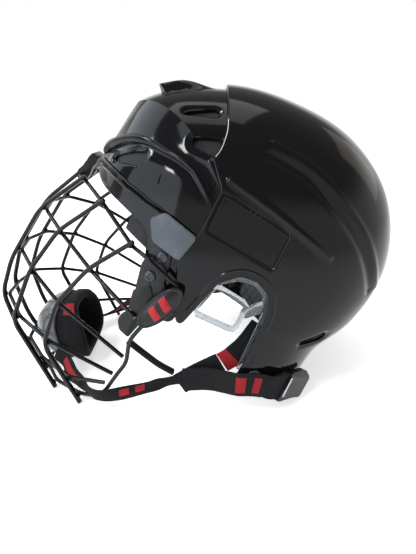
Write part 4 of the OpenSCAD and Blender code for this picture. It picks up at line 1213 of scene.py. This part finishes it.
def makeEarGuards():
    y, thick = guard["y"], guard["thick"]
    frameLoop, opening = (sideLoop(guard["loop"], 1.5, -rim)[::2] for rim in (guard["rim"], 0))
    parts = [prism(frameLoop, -y - thick, -y), plate(guard["strip"], y, thick, 2.0),
             plate(guard["bridge"], y, thick, 1)]
    fittingPair("earGuard", "ear_guard", parts, [prism(opening, -y - thick - 5, 5 - y)], clear, "rear", 0.5)
    rivets = []
    for x, z in guard["rivets"]:
        low, top = y + thick + 0.05, float(sideY(x, z, dome["wall"])) - 0.9
        profile = [(1.6, low), (2.3, low + 0.1), (2.5, low + 0.35), (2.5, top - 0.5), (2.3, top - 0.1),
                   (1.5, top)]
        rivets.append(lathe(profile, (x, z)))
    rivets += [flipped(rivet) for rivet in rivets]
    settle(makePiece("earGuardRivets", joinParts(rivets)[:2], satin, 40), "rear", "ear_guard_rivets")


makeEarGuards()
print("fittings made")

studio = {
    "camera": (0.0144, -0.39235, 0.21925), "down": 19.8, "lens": 29.05, "sensor": 36, "aim": (0, 0, 0.12),
    "floor": (0.93, 0.93, 0.93), "floorHalf": 30, "glow": 0.56, "world": 0.5, "ceiling": 0.28,
    "rise": (0.26, 0.5),  # where the ceiling starts and ends to darken: 0 is the horizon, 1 straight up
    "lamps": [  # name, place, size, power, colour
        ("window", (-1.35, -1.15, 0.72), 1.7, 23, (0.82, 0.91, 1.0)),
        ("front", (-1.2, 0.55, 1.15), 1.1, 8, (0.84, 0.92, 1.0)),
        ("key", (-0.7, -1.05, 1.35), 0.26, 7, (1, 1, 1)),
        ("edge", (-0.85, 0.05, 1.45), 0.3, 8, (0.95, 0.98, 1.0)),
        ("top", (0.1, 0.3, 1.7), 0.9, 4, (1, 1, 1)),
        ("back", (1.3, 0.7, 0.8), 0.8, 1.3, (1.0, 0.90, 0.80))],
}


def makeWorld():
    # white to the camera; reflections see white round the horizon and a grey ceiling above
    g = Graph("studio", "worlds", "Background")
    camera, indirect = g.rays()
    up = g.node("ShaderNodeSeparateXYZ", {}, [g.coordinates("Generated")])[2]
    low, high = studio["rise"]
    ramp = {"Value": up, "From Min": low, "From Max": high, "To Min": 1.0, "To Max": studio["ceiling"]}
    ceiling = g.node("ShaderNodeMapRange", {"interpolation_type": "SMOOTHSTEP"}, ramp)[0]
    strength = indirect * ceiling + (indirect * -1.0 + 1.0) * studio["world"]
    g.feed(g.shader, {"Color": (1, 1, 1), "Strength": camera.over(strength)})
    bpy.context.scene.world = g.owner


def makeFloor():
    # it glows a little where it is seen, so that it meets the white behind it
    mesh = bpy.data.meshes.new("floor")
    h = studio["floorHalf"]
    mesh.from_pydata([(-h, -h, 0), (h, -h, 0), (h, h, 0), (-h, h, 0)], [], [(0, 1, 2, 3)])
    g = Graph("paleFloor")
    camera, indirect = g.rays()
    mesh.materials.append(g.set(color=studio["floor"], rough=0.9, light=(1, 1, 1),
                                glow=camera.over(indirect) * studio["glow"]))
    addObject("floor", mesh)


def makeStudio():
    eye = bpy.data.cameras.new("camera")
    eye.lens, eye.sensor_width, eye.clip_start = studio["lens"], studio["sensor"], 0.01
    camera = addObject("camera", eye)
    camera.location = studio["camera"]
    camera.rotation_euler = (math.radians(90 - studio["down"]), 0, 0)
    bpy.context.scene.camera = camera
    for name, place, size, power, colour in studio["lamps"]:
        lamp = bpy.data.lights.new(name, "AREA")
        lamp.shape, lamp.size, lamp.energy, lamp.color = "SQUARE", size, power, colour
        held = addObject(name, lamp)
        held.location = place
        held.rotation_euler = (Vector(studio["aim"]) - Vector(place)).to_track_quat("-Z", "Y").to_euler()
    bpy.context.scene.view_settings.view_transform = "Standard"


makeFloor()
makeWorld()
makeStudio()
print("studio made")
